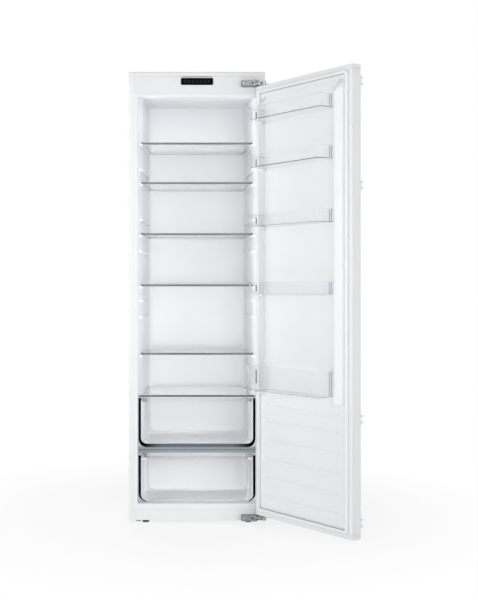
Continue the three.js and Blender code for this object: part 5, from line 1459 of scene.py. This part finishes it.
@dataclass
class Studio:
    """Camera, floor, lamps and world."""

    picture_width: float = 478.0
    picture_height: float = 600.0
    focal_pixels: float = 1058.0
    centre_x_pixel: float = 197.0
    centre_y_pixel: float = 289.5
    camera_distance: float = 4.46
    camera_height: float = 0.913
    sensor: float = 36.0
    floor_half: float = 30.0
    floor_gap: float = 0.1 * MM
    floor_colour: Colour = (0.90, 0.90, 0.90)
    floor_roughness: float = 0.6
    floor_specular: float = 0.2
    floor_glow: float = 0.8
    fade: Span = (0.25, 1.5)
    bounce_limit: float = 0.5
    world_strength: float = 0.25
    white_strength: float = 1.0
    soft_boxes: tuple[SoftBox, ...] = (
        SoftBox("front_softbox", (0.2, -4.6, 1.35), (0.0, 0.0, 0.9), (2.4, 2.4), 53.0, clear=True),
        SoftBox("left_softbox", (-3.4, -1.9, 1.3), (0.3, -0.4, 0.9), (1.8, 2.2), 60.0),
        SoftBox("right_softbox", (2.9, -3.9, 1.3), (-0.1, 0.0, 0.9), (1.6, 2.2), 42.0),
        SoftBox("back_softbox", (-1.4, 3.2, 2.4), (0.0, 0.2, 0.9), (2.2, 2.2), 40.0),
        SoftBox("ceiling_lamp", (0.0, -0.215, 1.60), (0.0, 0.10, 1.70), (0.38, 0.06), 0.13, False),
        SoftBox("left_strip", (-0.222, -0.248, 1.08), (0.224, 0.03, 1.08), (0.03, 1.14), 0.78, False),
        SoftBox("right_strip", (0.222, -0.248, 1.08), (-0.224, 0.03, 1.08), (0.03, 1.14), 0.68, False),
        SoftBox("upper_drawer_lamp", (0.0, -0.20, 0.45), (0.0, 0.10, 0.33), (0.36, 0.03), 0.36, False),
        SoftBox("lower_drawer_lamp", (0.0, -0.20, 0.225), (0.0, 0.10, 0.105), (0.36, 0.03), 0.22, False))

    def build(self) -> None:
        """Set the whole studio up."""
        self.camera()
        self.floor()
        self.world()
        for soft_box in self.soft_boxes:
            soft_box.hang()
        bpy.context.scene.view_settings.view_transform = "Standard"
        log.info("studio is set up")

    def camera(self) -> None:
        """Stand the camera where the photograph was taken."""
        data = bpy.data.cameras.new("photo_camera")
        data.sensor_width = self.sensor
        data.sensor_fit = "AUTO"
        data.lens = self.sensor * self.focal_pixels / self.picture_height
        data.shift_x = (self.picture_width / 2 - self.centre_x_pixel) / self.picture_height
        data.shift_y = (self.centre_y_pixel - self.picture_height / 2) / self.picture_height
        obj = Workbench.added("photo_camera", data)
        obj.location = (0.0, -self.camera_distance, self.camera_height)
        obj.rotation_euler = (math.pi / 2, 0.0, 0.0)
        bpy.context.scene.camera = obj

    def floor(self) -> None:
        """Lay a pale floor that fades to white away from the cabinet."""
        Workbench.clear()
        height = CAD_BOX[0][2] - self.floor_gap
        bpy.ops.mesh.primitive_plane_add(size=2 * self.floor_half, location=(0, 0, height))
        obj = Workbench.named("studio_floor")
        nodes = SurfaceNodes("pale_floor")
        nodes.set(Base_Color=(*self.floor_colour, 1.0), Roughness=self.floor_roughness,
                  Specular_IOR_Level=self.floor_specular)
        distance = nodes.add("VectorMath")
        distance.operation = "LENGTH"
        nodes.link(nodes.place, distance.inputs[0])
        reach = nodes.remap(distance.outputs["Value"], self.fade, (self.floor_glow, 1.0), "SMOOTHSTEP")
        white = nodes.calculate("MULTIPLY", self._seen_white(nodes), reach)
        glow = nodes.add("Emission").outputs["Emission"]
        nodes.show(nodes.mix_shaders(white, nodes.shader.outputs["BSDF"], glow))
        obj.data.materials.append(nodes.material)

    def _seen_white(self, nodes: Nodes) -> Socket:
        """Give 1 to rays that show the background and 0 to rays that carry its light.

        Args:
            nodes: Nodes of the floor or the world.

        Returns:
            The value.
        """
        path = nodes.add("LightPath").outputs
        seen = path["Is Camera Ray"]
        for name in ("Is Glossy Ray", "Is Transmission Ray"):
            seen = nodes.calculate("MAXIMUM", seen, path[name])
        straight = nodes.calculate("LESS_THAN", path["Diffuse Depth"], self.bounce_limit)
        return nodes.calculate("MULTIPLY", seen, straight)

    def world(self) -> None:
        """Surround the object with soft white light, seen as plain white."""
        world = bpy.data.worlds.new("studio_world")
        bpy.context.scene.world = world
        world.use_nodes = True
        nodes = Nodes(world.node_tree)
        light, seen = nodes.tree.nodes["Background"], nodes.add("Background")
        for background, strength in ((light, self.world_strength), (seen, self.white_strength)):
            background.inputs["Color"].default_value = (1.0, 1.0, 1.0, 1.0)
            background.inputs["Strength"].default_value = strength
        shaders = [background.outputs["Background"] for background in (light, seen)]
        nodes.show(nodes.mix_shaders(self._seen_white(nodes), *shaders), "World Output")


def main() -> None:
    """Build the studio and every sub-assembly in order."""
    Studio().build()
    CabinetShell("cabinet").build()
    ControlFascia("cabinet").build()
    Compartment("cabinet").build()
    ShelfSet("cabinet").build()
    CrisperUnit("cabinet").build()
    DoorAssembly("door").build()
    HingeSet("cabinet").build()
    BaseUnit("cabinet").build()
    CoolingUnit("cabinet").build()


if __name__ == "__main__":
    main()
